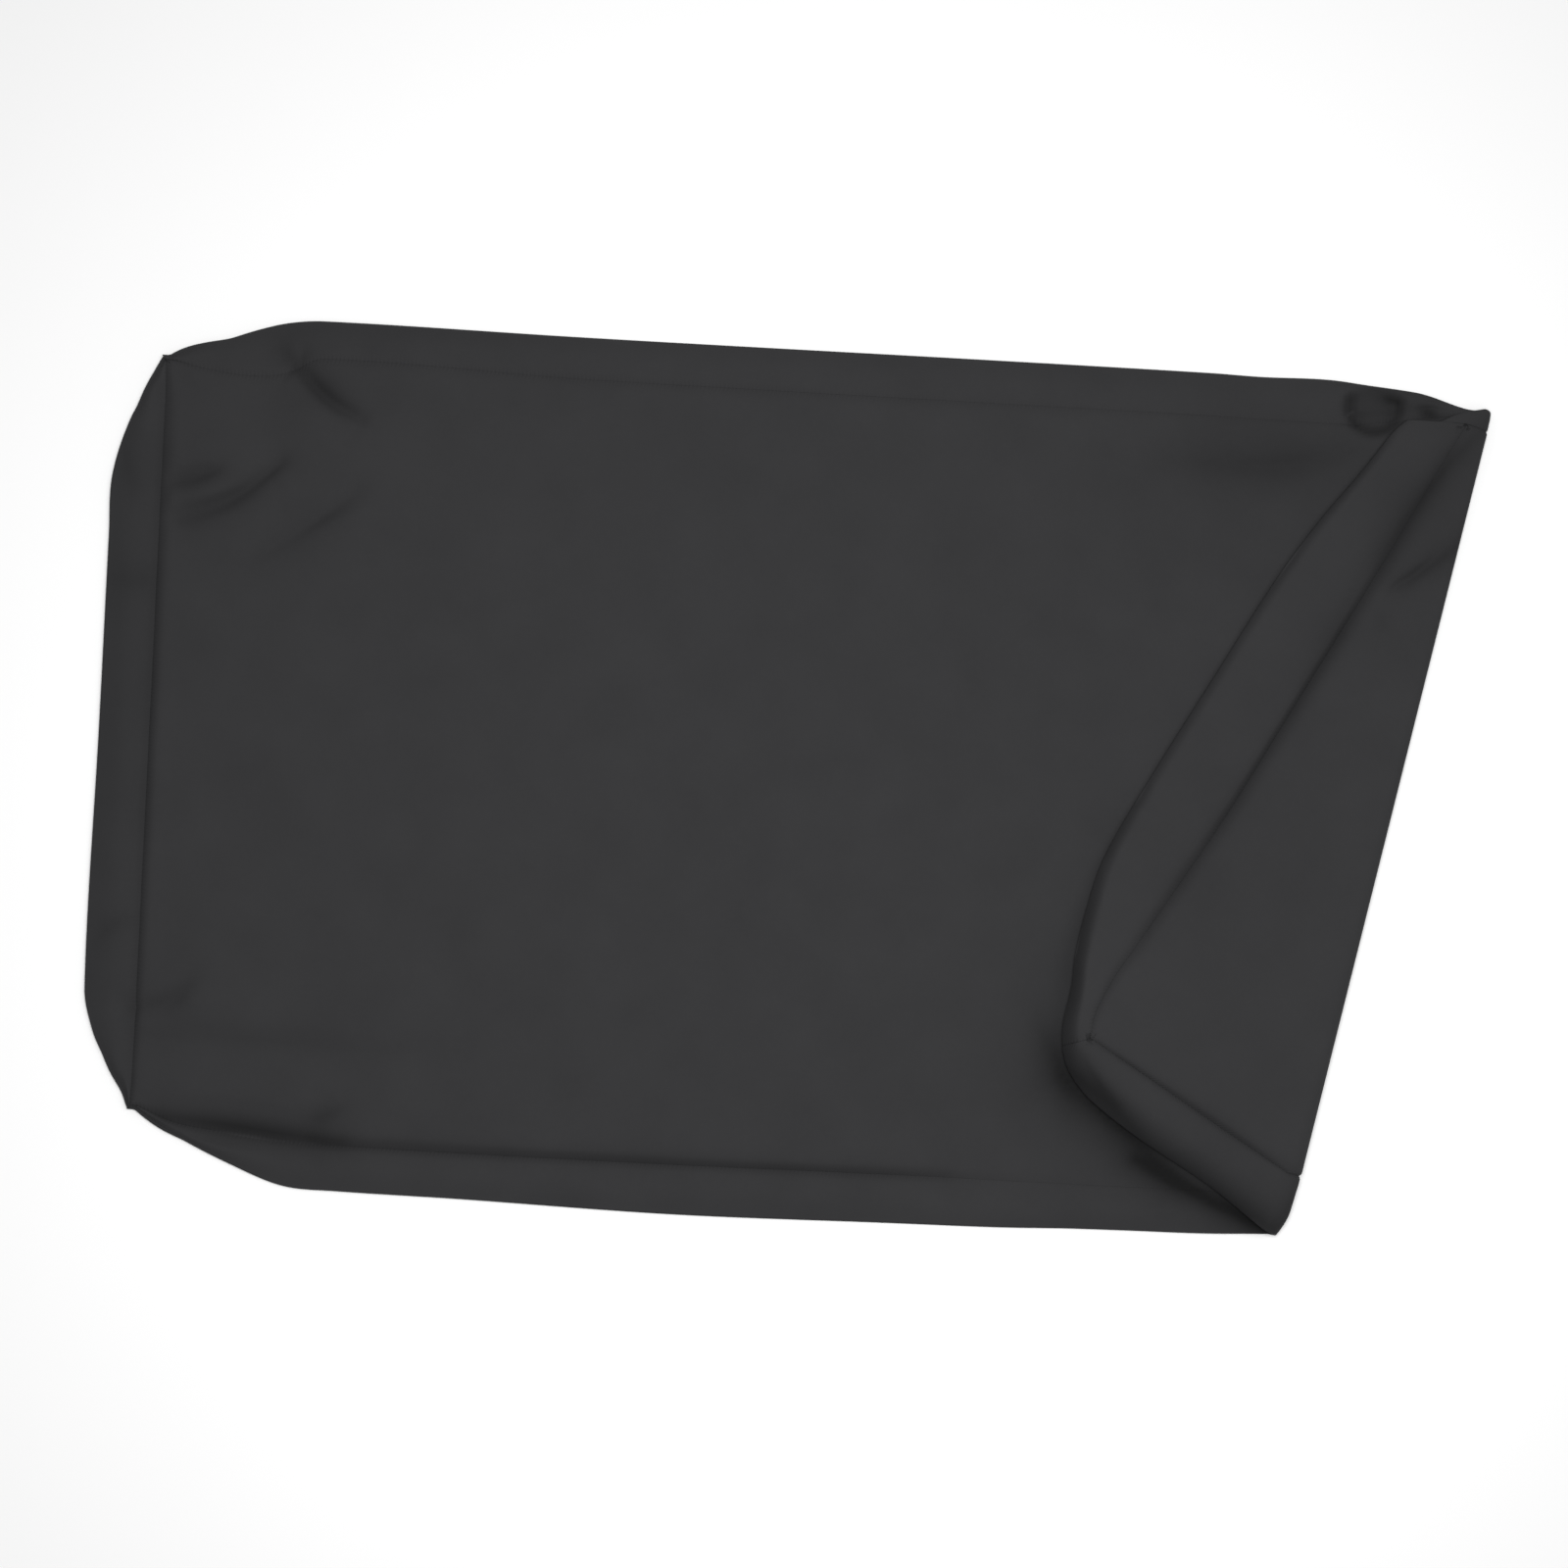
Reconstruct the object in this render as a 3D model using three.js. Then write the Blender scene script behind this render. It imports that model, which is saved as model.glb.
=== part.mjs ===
// An empty dog bed cover: two panels joined by a side strip, lying flat, with its front right corner folded back over
// the top. The plan's origin is the top panel's front left corner. X runs right, Y back and Z up, in millimetres.
import * as THREE from "three";

// Driving dimensions of the cut pieces.
const PANEL_LENGTH = 1067;
const PANEL_WIDTH = 584;
const CLOTH = 1.2;
const HALF = CLOTH / 2;
const SEAM_GAP = 0.3;

// Heights of a layer's middle above the outer face of the bottom panel.
const BOTTOM_LEVEL = HALF;
const TOP_LEVEL = { open: 5.0, underFlap: 4.1, lowest: 3.2, seamRise: 0.5 };
const FOLD_LEVEL = { front: 4.9, back: 4.0 };

// The corners of the two panels at the left end. The bottom panel's lie a little inside.
const LEFT_CORNERS = {
  top: { front: { x: 0, y: 0 }, back: { x: -11, y: 560 } },
  bottom: { front: { x: 6, y: 6 }, back: { x: -4, y: 543 } },
};

// The cloth turned down at a seam: how far in from the seam each face's points lie, and how far below its middle.
const RIM = [
  { outerIn: SEAM_GAP / 2, outerDrop: 1.5, innerIn: 1.35, innerDrop: 1.5 },
  { outerIn: 0.3, outerDrop: 0.1, innerIn: 1.45, innerDrop: 0.9 },
  { outerIn: 1.6, outerDrop: -HALF, innerIn: 2.1, innerDrop: HALF },
];
const RIM_WIDTH = 2.4;

// The fold: its outline seen from above, and the bottom panel's radius round it at each end.
const FOLD = { front: { x: 862, y: -7 }, back: { x: 986, y: 573 }, frontRadius: 11, backRadius: 4.6 };
// Where each panel's front and back seams cross the fold, measured along it from its front end.
const CROSSING = { top: { front: -17, back: 588 }, bottom: { front: 0, back: 577 } };

// The bottom panel's corners on the flap, and the flap's left edge, where it lies on the top panel.
const FLAP_CORNER = { x: 700, y: 87 };
const FLAP_TIP = { x: 966, y: 562 };
const FLAP_EDGE = { foot: { x: 682, y: 85 }, head: { x: 909, y: 551 }, bow: 40 };
// Heights of the flap's upper face at rest, how much its end and its front corner stand higher, and how far they do.
const FLAP_REST = { height: 10.8, endRise: 0.5, foldReach: 95 };
const FLAP_LIFT = { height: 14, rowReach: 0.42, nearFold: 0.15, shareReach: 0.85 };

// The top panel's seam and the strip's reach from it along the front.
const FRONT = [
  { x: 0, seam: 0, reach: 5 },
  { x: 28, seam: -11, reach: 9 },
  { x: 70, seam: -17, reach: 22 },
  { x: 110, seam: -21, reach: 32 },
  { x: 190, seam: -23, reach: 33 },
  { x: 400, seam: -23, reach: 36 },
  { x: 600, seam: -22, reach: 35 },
  { x: 780, seam: -22, reach: 31 },
  { x: 860, seam: -24, reach: 30 },
];
// The same along the back, where a deep wrinkle steps the seam near the left corner.
const BACK = [
  { x: -11, seam: 560, reach: 5 },
  { x: 12, seam: 555, reach: 17 },
  { x: 45, seam: 551, reach: 34 },
  { x: 72, seam: 553, reach: 40 },
  { x: 100, seam: 566, reach: 30 },
  { x: 300, seam: 562, reach: 32 },
  { x: 600, seam: 560, reach: 33 },
  { x: 870, seam: 558, reach: 33 },
  { x: 925, seam: 561, reach: 21 },
  { x: 965, seam: 565, reach: 6 },
  { x: 990, seam: 569, reach: 5 },
];
// The strip's reach at the left end, by the share of the way from front to back.
const LEFT = [
  { share: 0, reach: 5 },
  { share: 0.04, reach: 20 },
  { share: 0.1, reach: 38 },
  { share: 0.17, reach: 43 },
  { share: 0.5, reach: 42 },
  { share: 0.84, reach: 42 },
  { share: 0.92, reach: 30 },
  { share: 0.97, reach: 14 },
  { share: 1, reach: 5 },
];
// The strip's right end, on the flap, by the share of the way from the flap's corner to its tip. reach runs from the
// bottom panel's seam to the edge, and inwards from the edge to the top panel's seam. heading is the way the strip
// points, in degrees from +X, level the depth of its bend below the flap's face, and bow how far its seam curves.
const END = [
  { share: 0, reach: 19, inwards: 16, heading: 200, level: 10.5, bow: 0 },
  { share: 0.03, reach: 20, inwards: 16, heading: 152, level: 10.3, bow: 6 },
  { share: 0.085, reach: 31, inwards: 25, heading: 151, level: 9.6, bow: 8 },
  { share: 0.14, reach: 43, inwards: 28, heading: 151, level: 8.4, bow: 6 },
  { share: 0.22, reach: 56, inwards: 26, heading: 151, level: 6.6, bow: 3 },
  { share: 0.35, reach: 62, inwards: 17, heading: 151, level: 4.2, bow: -1 },
  { share: 0.5, reach: 62, inwards: 14, heading: 151, level: 3.3, bow: -1.5 },
  { share: 0.68, reach: 61, inwards: 14, heading: 151, level: 3.1, bow: -1.5 },
  { share: 0.78, reach: 56, inwards: 18, heading: 151, level: 3.1, bow: -1 },
  { share: 0.86, reach: 49, inwards: 24, heading: 152, level: 3.0, bow: -0.5 },
  { share: 0.93, reach: 45, inwards: 27, heading: 157, level: 2.9, bow: 0 },
  { share: 1, reach: 45, inwards: 28, heading: 179, level: 2.7, bow: 0 },
];
const BOW_HEADING = 151;
// On the flap, the top panel's seam lies this much deeper than the middle of the strip's bend.
const SEAM_BELOW_BEND = 1.1;
// The front strip on the flap, by the share of the way along the flap's front seam from the fold.
const FLAP_FRONT = [
  { share: 0, reach: 28, heading: 248, level: 5 },
  { share: 0.25, reach: 27, heading: 241, level: 7.5 },
  { share: 0.6, reach: 32, heading: 240, level: 9.5 },
  { share: 0.84, reach: 32, heading: 239, level: 10 },
  { share: 0.94, reach: 27, heading: 233, level: 10.3 },
  { share: 1, reach: 16, heading: 200, level: 10.5 },
];
// Beside the flap's tip the back strip is pressed down to this reach, and its bend to this depth.
const TIP = { reach: 5, level: 2.6, heading: 179 };
// The way each long strip points before the fold, at its left corner, at the fold and just past it.
const HEADINGS = {
  front: { before: 270, corner: 225, fold: 258, past: 248 },
  back: { before: 90, corner: 135, fold: 78, past: 95 },
};

// The strip's fold along its middle: its radius, its height above the floor, and how much the upper half bulges.
const BEND = 1.5;
const BEND_LEVEL = BOTTOM_LEVEL + BEND;
const UPPER_BULGE = 1.3;
// At a corner two strips stand this far to each side of the line they share.
const CORNER_SHIFT = 0.32;

// Soft troughs in the upper layer: the line each follows, how far it bows, its half width and its depth.
const TROUGHS = [
  { fromX: 62, fromY: 572, toX: 126, toY: 525, bow: -3, width: 7, depth: 2.6 },
  { fromX: -16, fromY: 467, toX: 26, toY: 480, bow: 1, width: 6, depth: 1.8 },
  { fromX: -10, fromY: 438, toX: 78, toY: 487, bow: -5, width: 8, depth: 2.4 },
  { fromX: 58, fromY: 408, toX: 150, toY: 473, bow: -3, width: 11, depth: 1.6 },
  { fromX: -4, fromY: 70, toX: 36, toY: 96, bow: -5, width: 6, depth: 1.5 },
  { fromX: 0, fromY: 54, toX: 190, toY: 52, bow: 3, width: 7, depth: 0.8 },
  { fromX: 12, fromY: -8, toX: 136, toY: -17, bow: -4, width: 6, depth: 1.2 },
  { fromX: 120, fromY: -14, toX: 152, toY: 8, bow: 2, width: 8, depth: 1.4 },
];
// Soft ridges beside them.
const RIDGES = [
  { fromX: 40, fromY: 560, toX: 104, toY: 515, bow: -3, width: 11, depth: 2.0 },
  { fromX: 84, fromY: 590, toX: 140, toY: 545, bow: -3, width: 12, depth: 1.6 },
  { fromX: -20, fromY: 456, toX: 60, toY: 492, bow: -2, width: 9, depth: 1.6 },
  { fromX: 4, fromY: 418, toX: 96, toY: 470, bow: -4, width: 12, depth: 1.7 },
  { fromX: 70, fromY: 385, toX: 165, toY: 452, bow: -3, width: 16, depth: 1.2 },
  { fromX: 0, fromY: 10, toX: 130, toY: 4, bow: 4, width: 16, depth: 2.0 },
];
// Soft troughs in the flap.
const FLAP_TROUGHS = [
  { fromX: 900, fromY: 438, toX: 984, toY: 565, bow: 4, width: 10, depth: 1.3 },
  { fromX: 968, fromY: 482, toX: 915, toY: 436, bow: 3, width: 8, depth: 1.6 },
  { fromX: 755, fromY: 130, toX: 800, toY: 250, bow: 6, width: 22, depth: 1.2 },
  { fromX: 850, fromY: 348, toX: 905, toY: 352, bow: 0, width: 7, depth: 0.7 },
];
// The puckered end of the back seam beside the flap: a swelling inside a ring-shaped trough.
const PUCKER = { x: 903, y: 576, radius: 22, width: 6, depth: 1.5, swell: 1.8 };
// A slow unevenness of the open top.
const SWELL = { height: 0.5, acrossX: 71, acrossY: 63, slantX: 210, slantY: 130 };

// Sample places: along the main part's front seam, from front to back, round the fold, and from fold to flap's end.
const TOP_COLUMNS = [
  10, 24, 38, 52, 66, 80, 94, 108, 122, 138, 160, 200, 280, 370, 460, 550, 630, 700, 750, 800, 838,
];
const BOTTOM_COLUMNS = [10, 80, 200, 330, 460, 590, 700, 800, 838];
const ROWS = [
  0.012, 0.03, 0.06, 0.1, 0.15, 0.22, 0.32, 0.44, 0.56, 0.66, 0.73, 0.77, 0.805, 0.84, 0.875, 0.91, 0.945, 0.97,
  0.988,
];
const FOLD_ANGLES = [0, 30, 60, 90, 120, 150, 180];
const FLAP_SHARES = [0.08, 0.2, 0.34, 0.48, 0.62, 0.75, 0.86, 0.94];

const lerp = (a, b, t) => a + (b - a) * t;
const clamp = (t) => Math.min(1, Math.max(0, t));
const mix = (p, q, t) => ({ x: lerp(p.x, q.x, t), y: lerp(p.y, q.y, t) });
const radians = THREE.MathUtils.degToRad;
const toward = (degrees, far = 1) => ({ x: far * Math.cos(radians(degrees)), y: far * Math.sin(radians(degrees)) });

function smooth(low, high, value) {
  const t = clamp((value - low) / (high - low));
  return t * t * (3 - 2 * t);
}

// Reads a table's column at a place along it, on a smooth curve through its rows.
function read(table, along, column, at) {
  const last = table.length - 1;
  const place = Math.min(table[last][along], Math.max(table[0][along], at));
  let i = 0;
  while (i < last - 1 && table[i + 1][along] < place) i += 1;
  const slope = (k) => {
    const low = table[Math.max(0, k - 1)];
    const high = table[Math.min(last, k + 1)];
    return (high[column] - low[column]) / (high[along] - low[along]);
  };
  const step = table[i + 1][along] - table[i][along];
  const t = (place - table[i][along]) / step;
  const ends = table[i][column] * (1 + 2 * t) * (1 - t) ** 2 + table[i + 1][column] * t * t * (3 - 2 * t);
  return ends + step * t * (1 - t) * (slope(i) * (1 - t) - slope(i + 1) * t);
}

// Depth of one soft crease at a point of the plan. It fades towards its ends.
function crease(row, x, y) {
  const length = Math.hypot(row.toX - row.fromX, row.toY - row.fromY);
  const ux = (row.toX - row.fromX) / length;
  const uy = (row.toY - row.fromY) / length;
  const along = ((x - row.fromX) * ux + (y - row.fromY) * uy) / length;
  const t = clamp(along);
  const aside = -(x - row.fromX) * uy + (y - row.fromY) * ux - row.bow * Math.sin(Math.PI * t);
  const past = (along - t) * length;
  const fade = 0.6 + 0.4 * Math.sin(Math.PI * t);
  return row.depth * fade * Math.exp(-(aside * aside + past * past) / (row.width * row.width));
}

const depthOf = (rows, x, y) => rows.reduce((sum, row) => sum + crease(row, x, y), 0);

function pucker(x, y) {
  const away = Math.hypot(x - PUCKER.x, y - PUCKER.y);
  const ring = PUCKER.depth * Math.exp(-(((away - PUCKER.radius) / PUCKER.width) ** 2));
  return PUCKER.swell * Math.exp(-((away / (0.6 * PUCKER.radius)) ** 2)) - ring;
}

function swell(x, y) {
  const wave = Math.sin(x / SWELL.acrossX + y / SWELL.slantY);
  return SWELL.height * wave * Math.sin(y / SWELL.acrossY - x / SWELL.slantX);
}

// How far to the right of the flap's left edge a point of the plan lies.
function pastFlapEdge(x, y) {
  const t = (y - FLAP_EDGE.foot.y) / (FLAP_EDGE.head.y - FLAP_EDGE.foot.y);
  const bow = FLAP_EDGE.bow * Math.sin(Math.PI * clamp(t) ** 0.75);
  return x - lerp(FLAP_EDGE.foot.x, FLAP_EDGE.head.x, t) + bow;
}

// Rise and fall of the upper layer where it lies open. It fades out under the flap.
function relief(x, y) {
  const open = 1 - smooth(-30, 5, pastFlapEdge(x, y));
  return open * (depthOf(RIDGES, x, y) - depthOf(TROUGHS, x, y) + pucker(x, y) + swell(x, y));
}

// The fold's outline as a direction and a length, and the way it faces.
const FOLD_LENGTH = Math.hypot(FOLD.back.x - FOLD.front.x, FOLD.back.y - FOLD.front.y);
const ALONG = { x: (FOLD.back.x - FOLD.front.x) / FOLD_LENGTH, y: (FOLD.back.y - FOLD.front.y) / FOLD_LENGTH };
const ACROSS = { x: ALONG.y, y: -ALONG.x };

const foldRadius = (s) => lerp(FOLD.frontRadius, FOLD.backRadius, s / FOLD_LENGTH);
const axisHeight = (s) => HALF + foldRadius(s);
const foldLevel = (row) => lerp(FOLD_LEVEL.front, FOLD_LEVEL.back, row);
const foldPlace = (panel, row) => lerp(CROSSING[panel].front, CROSSING[panel].back, row);

// A point of the fold's axis, seen from above, at a distance along the fold.
function axisPoint(s) {
  const inwards = foldRadius(s) + HALF;
  return {
    x: FOLD.front.x + ALONG.x * s - ACROSS.x * inwards,
    y: FOLD.front.y + ALONG.y * s - ACROSS.y * inwards,
  };
}

// Height of the flap's upper face. The flap drops from the fold to rest on the top, and its front corner stands up.
function flapTop(share, row, s, distance, point) {
  const fold = CLOTH + 2 * foldRadius(s);
  const rest = FLAP_REST.height + FLAP_REST.endRise * share;
  const near = 1 - smooth(0, FLAP_REST.foldReach, distance);
  const outward = lerp(FLAP_LIFT.nearFold, 1, smooth(0, FLAP_LIFT.shareReach, share));
  const lifted = FLAP_LIFT.height * (1 - smooth(0, FLAP_LIFT.rowReach, row)) * outward;
  const dips = depthOf(FLAP_TROUGHS, point.x, point.y) * smooth(0, 25, distance);
  return lerp(rest + lifted, fold, near) - dips;
}

// A panel's end seam on the flap, by the share of the way from its front corner to its back one.
function endSeam(panel, row) {
  const straight = mix(FLAP_CORNER, FLAP_TIP, row);
  const bow = toward(BOW_HEADING, read(END, "share", "bow", row));
  const bottom = { x: straight.x + bow.x, y: straight.y + bow.y };
  if (panel === "bottom") return bottom;
  const between = read(END, "share", "reach", row) - read(END, "share", "inwards", row);
  const out = toward(read(END, "share", "heading", row), between);
  return { x: bottom.x + out.x, y: bottom.y + out.y };
}

// The front and back ends of a column of a panel's main part. The bottom panel's seams run straight.
function mainEnds(panel, share) {
  const foldFront = axisPoint(CROSSING[panel].front);
  const foldBack = axisPoint(CROSSING[panel].back);
  const front = mix(LEFT_CORNERS[panel].front, foldFront, share);
  const back = mix(LEFT_CORNERS[panel].back, foldBack, share);
  if (panel === "top") {
    const nearFold = smooth(0.9, 1, share);
    front.y = lerp(read(FRONT, "x", "seam", front.x), foldFront.y, nearFold);
    back.y = lerp(read(BACK, "x", "seam", back.x), foldBack.y, nearFold);
  }
  return [front, back];
}

// How near a seam a place on the main part is, from 0 to 1.
function seamNearness(share, row) {
  const nearest = Math.min(row * PANEL_WIDTH, (1 - row) * PANEL_WIDTH, share * PANEL_LENGTH);
  return 1 - smooth(0, 26, nearest);
}

// A place on a panel: a point of the bottom layer's outer face, the way from it to the top layer, and that layer's
// level. A column lies in the main part, in the fold or on the flap.
function place(panel, column, row) {
  const s = foldPlace(panel, row);
  const axis = axisPoint(s);
  if (column.zone === "main") {
    const p = mix(...mainEnds(panel, column.share), row);
    const under = smooth(-95, -25, pastFlapEdge(p.x, p.y));
    const nearFold = smooth(-60, 0, p.x - axis.x);
    const lying = lerp(lerp(TOP_LEVEL.open, TOP_LEVEL.underFlap, under), foldLevel(row), nearFold);
    const rise = TOP_LEVEL.seamRise * seamNearness(column.share, row) * (1 - under);
    const level = Math.max(TOP_LEVEL.lowest, lying + rise + relief(p.x, p.y));
    return { x: p.x, y: p.y, z: 0, nx: 0, ny: 0, nz: 1, level };
  }
  if (column.zone === "fold") {
    const radius = foldRadius(s) + HALF;
    const sin = Math.sin(column.angle);
    const cos = Math.cos(column.angle);
    const out = { x: sin * ACROSS.x, y: sin * ACROSS.y };
    const z = axisHeight(s) - radius * cos;
    const level = foldLevel(row);
    return { x: axis.x + radius * out.x, y: axis.y + radius * out.y, z, nx: -out.x, ny: -out.y, nz: cos, level };
  }
  const p = mix(axis, endSeam(panel, row), column.share);
  const distance = Math.hypot(p.x - axis.x, p.y - axis.y);
  const seamLevel = read(END, "share", "level", row) + SEAM_BELOW_BEND;
  const level = lerp(foldLevel(row), seamLevel, smooth(0, 1, column.share));
  return { x: p.x, y: p.y, z: flapTop(column.share, row, s, distance, p), nx: 0, ny: 0, nz: -1, level };
}

// The point at a height over a place, along its own way up.
const over = (base, height) => new THREE.Vector3(
  base.x + base.nx * height,
  base.y + base.ny * height,
  base.z + base.nz * height,
);

// Joins an outer and an inner grid of points round their border into one closed solid.
function shell(outer, inner) {
  const rows = outer.length;
  const columns = outer[0].length;
  const points = [...outer.flat(), ...inner.flat()];
  const at = (side, i, j) => side * rows * columns + i * columns + j;
  const index = [];
  const quad = (a, b, c, d) => index.push(a, b, c, a, c, d);
  for (let i = 0; i < rows - 1; i += 1) {
    for (let j = 0; j < columns - 1; j += 1) {
      quad(at(0, i, j), at(0, i + 1, j), at(0, i + 1, j + 1), at(0, i, j + 1));
      quad(at(1, i, j), at(1, i, j + 1), at(1, i + 1, j + 1), at(1, i + 1, j));
    }
    quad(at(0, i, 0), at(1, i, 0), at(1, i + 1, 0), at(0, i + 1, 0));
    quad(at(0, i, columns - 1), at(0, i + 1, columns - 1), at(1, i + 1, columns - 1), at(1, i, columns - 1));
  }
  for (let j = 0; j < columns - 1; j += 1) {
    quad(at(0, 0, j), at(0, 0, j + 1), at(1, 0, j + 1), at(1, 0, j));
    quad(at(0, rows - 1, j), at(1, rows - 1, j), at(1, rows - 1, j + 1), at(0, rows - 1, j + 1));
  }
  if (signedVolume(points, index) < 0) index.reverse();
  const geometry = new THREE.BufferGeometry().setFromPoints(points);
  geometry.setIndex(index);
  geometry.computeVertexNormals();
  return geometry;
}

function signedVolume(points, index) {
  const normal = new THREE.Vector3();
  let volume = 0;
  for (let k = 0; k < index.length; k += 3)
    volume += points[index[k]].dot(normal.crossVectors(points[index[k + 1]], points[index[k + 2]])) / 6;
  return volume;
}

// The turned edges' sample places, at the start and at the end of a line of samples.
const RIM_AT_START = RIM.map((rim) => ({ rim, fromStart: true }));
const RIM_AT_END = RIM.map((rim) => ({ rim, fromStart: false })).reverse();

const mainLength = axisPoint(CROSSING.top.front).x;
const asShares = (distances) => distances.map((x) => x / mainLength);

function flapWidth(panel, row) {
  const axis = axisPoint(foldPlace(panel, row));
  const seam = endSeam(panel, row);
  return Math.hypot(seam.x - axis.x, seam.y - axis.y);
}

function shareOf(sample, face, length) {
  if (!sample.rim) return sample.share;
  const share = sample.rim[`${face}In`] / length;
  return sample.fromStart ? share : 1 - share;
}

// One point of a panel's outer or inner face. Along its edges the face turns down.
function panelPoint(panel, face, column, row) {
  const rims = [column, row].filter((sample) => sample.rim);
  const plain = face === "outer" ? -HALF : HALF;
  const drop = rims.length ? Math.max(...rims.map(({ rim }) => rim[`${face}Drop`])) : plain;
  const rowShare = shareOf(row, face, PANEL_WIDTH);
  const placed = { ...column };
  if (column.zone === "main") placed.share = shareOf(column, face, mainLength);
  if (column.zone === "flap") {
    const width = flapWidth(panel, rowShare);
    placed.share = column.rim ? shareOf(column, face, width) : (column.share * (width - RIM_WIDTH)) / width;
  }
  const base = place(panel, placed, rowShare);
  return panel === "top" ? over(base, base.level - drop) : over(base, BOTTOM_LEVEL + drop);
}

// A panel's closed solid, over its columns from the left end to the flap's end and its rows from front to back.
function panelSolid(panel, columnDistances) {
  const rows = [...RIM_AT_START, ...ROWS.map((share) => ({ share })), ...RIM_AT_END];
  const columns = [
    ...RIM_AT_START.map((edge) => ({ zone: "main", ...edge })),
    ...asShares(columnDistances).map((share) => ({ zone: "main", share })),
    ...FOLD_ANGLES.map((degrees) => ({ zone: "fold", angle: radians(degrees) })),
    ...FLAP_SHARES.map((share) => ({ zone: "flap", share })),
    ...RIM_AT_END.map((edge) => ({ zone: "flap", ...edge })),
  ];
  const grid = (face) => columns.map((column) => rows.map((row) => panelPoint(panel, face, column, row)));
  return shell(grid("outer"), grid("inner"));
}

// One cross-section of the strip, from the top panel's seam out round its bend and back to the bottom panel's seam.
// out is the way it points in plan, reach its length from the top seam, and level the height of its bend's centre.
function section({ column, row, out, reach, level, shift = { x: 0, y: 0 } }) {
  const topSeam = place("top", column, row);
  const bottomSeam = place("bottom", column, row);
  const moved = (base, far) => ({ ...base, x: base.x + out.x * far, y: base.y + out.y * far });
  const legEnd = reach - BEND;
  const bendBase = moved(topSeam, legEnd);
  const lowerStart = moved(bottomSeam, RIM_WIDTH);
  const grids = {};
  for (const face of ["outer", "inner"]) {
    const half = face === "outer" ? HALF : -HALF;
    const points = RIM.map((rim) => over(moved(topSeam, rim[`${face}In`]), topSeam.level - rim[`${face}Drop`]));
    for (const t of [0.3, 0.65]) {
      const bulge = UPPER_BULGE * Math.sin(Math.PI * t) * smooth(4, 20, reach);
      const height = lerp(topSeam.level, level + BEND, t) + bulge + half;
      points.push(over(moved(topSeam, lerp(RIM_WIDTH, legEnd, t)), height));
    }
    for (const angle of [Math.PI / 2, 0, -Math.PI / 2]) {
      const radius = BEND + half;
      points.push(over(moved(bendBase, radius * Math.cos(angle)), level + radius * Math.sin(angle)));
    }
    for (const t of [0.35, 0.7]) {
      const base = { ...bottomSeam, ...mix(bendBase, lowerStart, t), z: lerp(bendBase.z, lowerStart.z, t) };
      points.push(over(base, lerp(level - BEND, BOTTOM_LEVEL, smooth(0, 0.8, t)) - half));
    }
    for (const rim of RIM.toReversed())
      points.push(over(moved(bottomSeam, rim[`${face}In`]), BOTTOM_LEVEL + rim[`${face}Drop`]));
    for (const point of points) point.add(new THREE.Vector3(shift.x, shift.y, 0));
    grids[face] = points;
  }
  return grids;
}

const stripSolid = (sections) => shell(sections.map((s) => s.outer), sections.map((s) => s.inner));

// The way a section points beside a corner, where it turns to the corner's mitre and lengthens with it.
const mitred = (degrees, turn) => toward(degrees, lerp(1, Math.SQRT2, turn));

// Several columns of a table at one share along it.
const readAll = (table, columns, share) => columns.map((column) => read(table, "share", column, share));

// The front or back strip: along the main part, round the fold and along the flap.
function longStrip(side) {
  const front = side === "front";
  const row = front ? 0 : 1;
  const headings = HEADINGS[side];
  const main = [0, ...asShares([6, ...TOP_COLUMNS])].map((share) => {
    const column = { zone: "main", share };
    const turn = 1 - smooth(0, 0.05, share);
    const away = lerp(headings.before, headings.corner, turn);
    const out = mitred(lerp(away, headings.fold, smooth(0.9, 1, share)), turn);
    const reach = read(front ? FRONT : BACK, "x", "reach", place("top", column, row).x);
    const shift = share === 0 ? toward(front ? 315 : 45, CORNER_SHIFT) : undefined;
    return section({ column, row, out, reach, level: BEND_LEVEL, shift });
  });
  const fold = FOLD_ANGLES.map((degrees) => {
    const t = degrees / 180;
    const column = { zone: "fold", angle: radians(degrees) };
    const out = toward(lerp(headings.fold, headings.past, t));
    const reach = front ? lerp(FRONT.at(-1).reach, FLAP_FRONT[0].reach, t) : TIP.reach;
    const level = lerp(BEND_LEVEL, front ? FLAP_FRONT[0].level : TIP.level, smooth(0, 0.6, t));
    return section({ column, row, out, reach, level });
  });
  const flap = [...FLAP_SHARES, 1].map((share) => {
    const column = { zone: "flap", share };
    if (front) {
      const [heading, reach, level] = readAll(FLAP_FRONT, ["heading", "reach", "level"], share);
      const shift = share === 1 ? toward(290, CORNER_SHIFT) : undefined;
      return section({ column, row, out: toward(heading), reach, level, shift });
    }
    const out = toward(lerp(headings.past, TIP.heading, smooth(0.3, 1, share)));
    const shift = share === 1 ? toward(89, CORNER_SHIFT) : undefined;
    return section({ column, row, out, reach: TIP.reach, level: TIP.level, shift });
  });
  return stripSolid([...main, ...fold, ...flap]);
}

function leftStrip() {
  const column = { zone: "main", share: 0 };
  const shifts = { 0: toward(135, CORNER_SHIFT), 1: toward(225, CORNER_SHIFT) };
  const sections = [0, ...ROWS, 1].map((row) => {
    const turnFront = 1 - smooth(0, 0.07, row);
    const turnBack = smooth(0.93, 1, row);
    const out = mitred(180 + 45 * turnFront - 45 * turnBack, Math.max(turnFront, turnBack));
    const reach = read(LEFT, "share", "reach", row);
    return section({ column, row, out, reach, level: BEND_LEVEL, shift: shifts[row] });
  });
  return stripSolid(sections);
}

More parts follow.
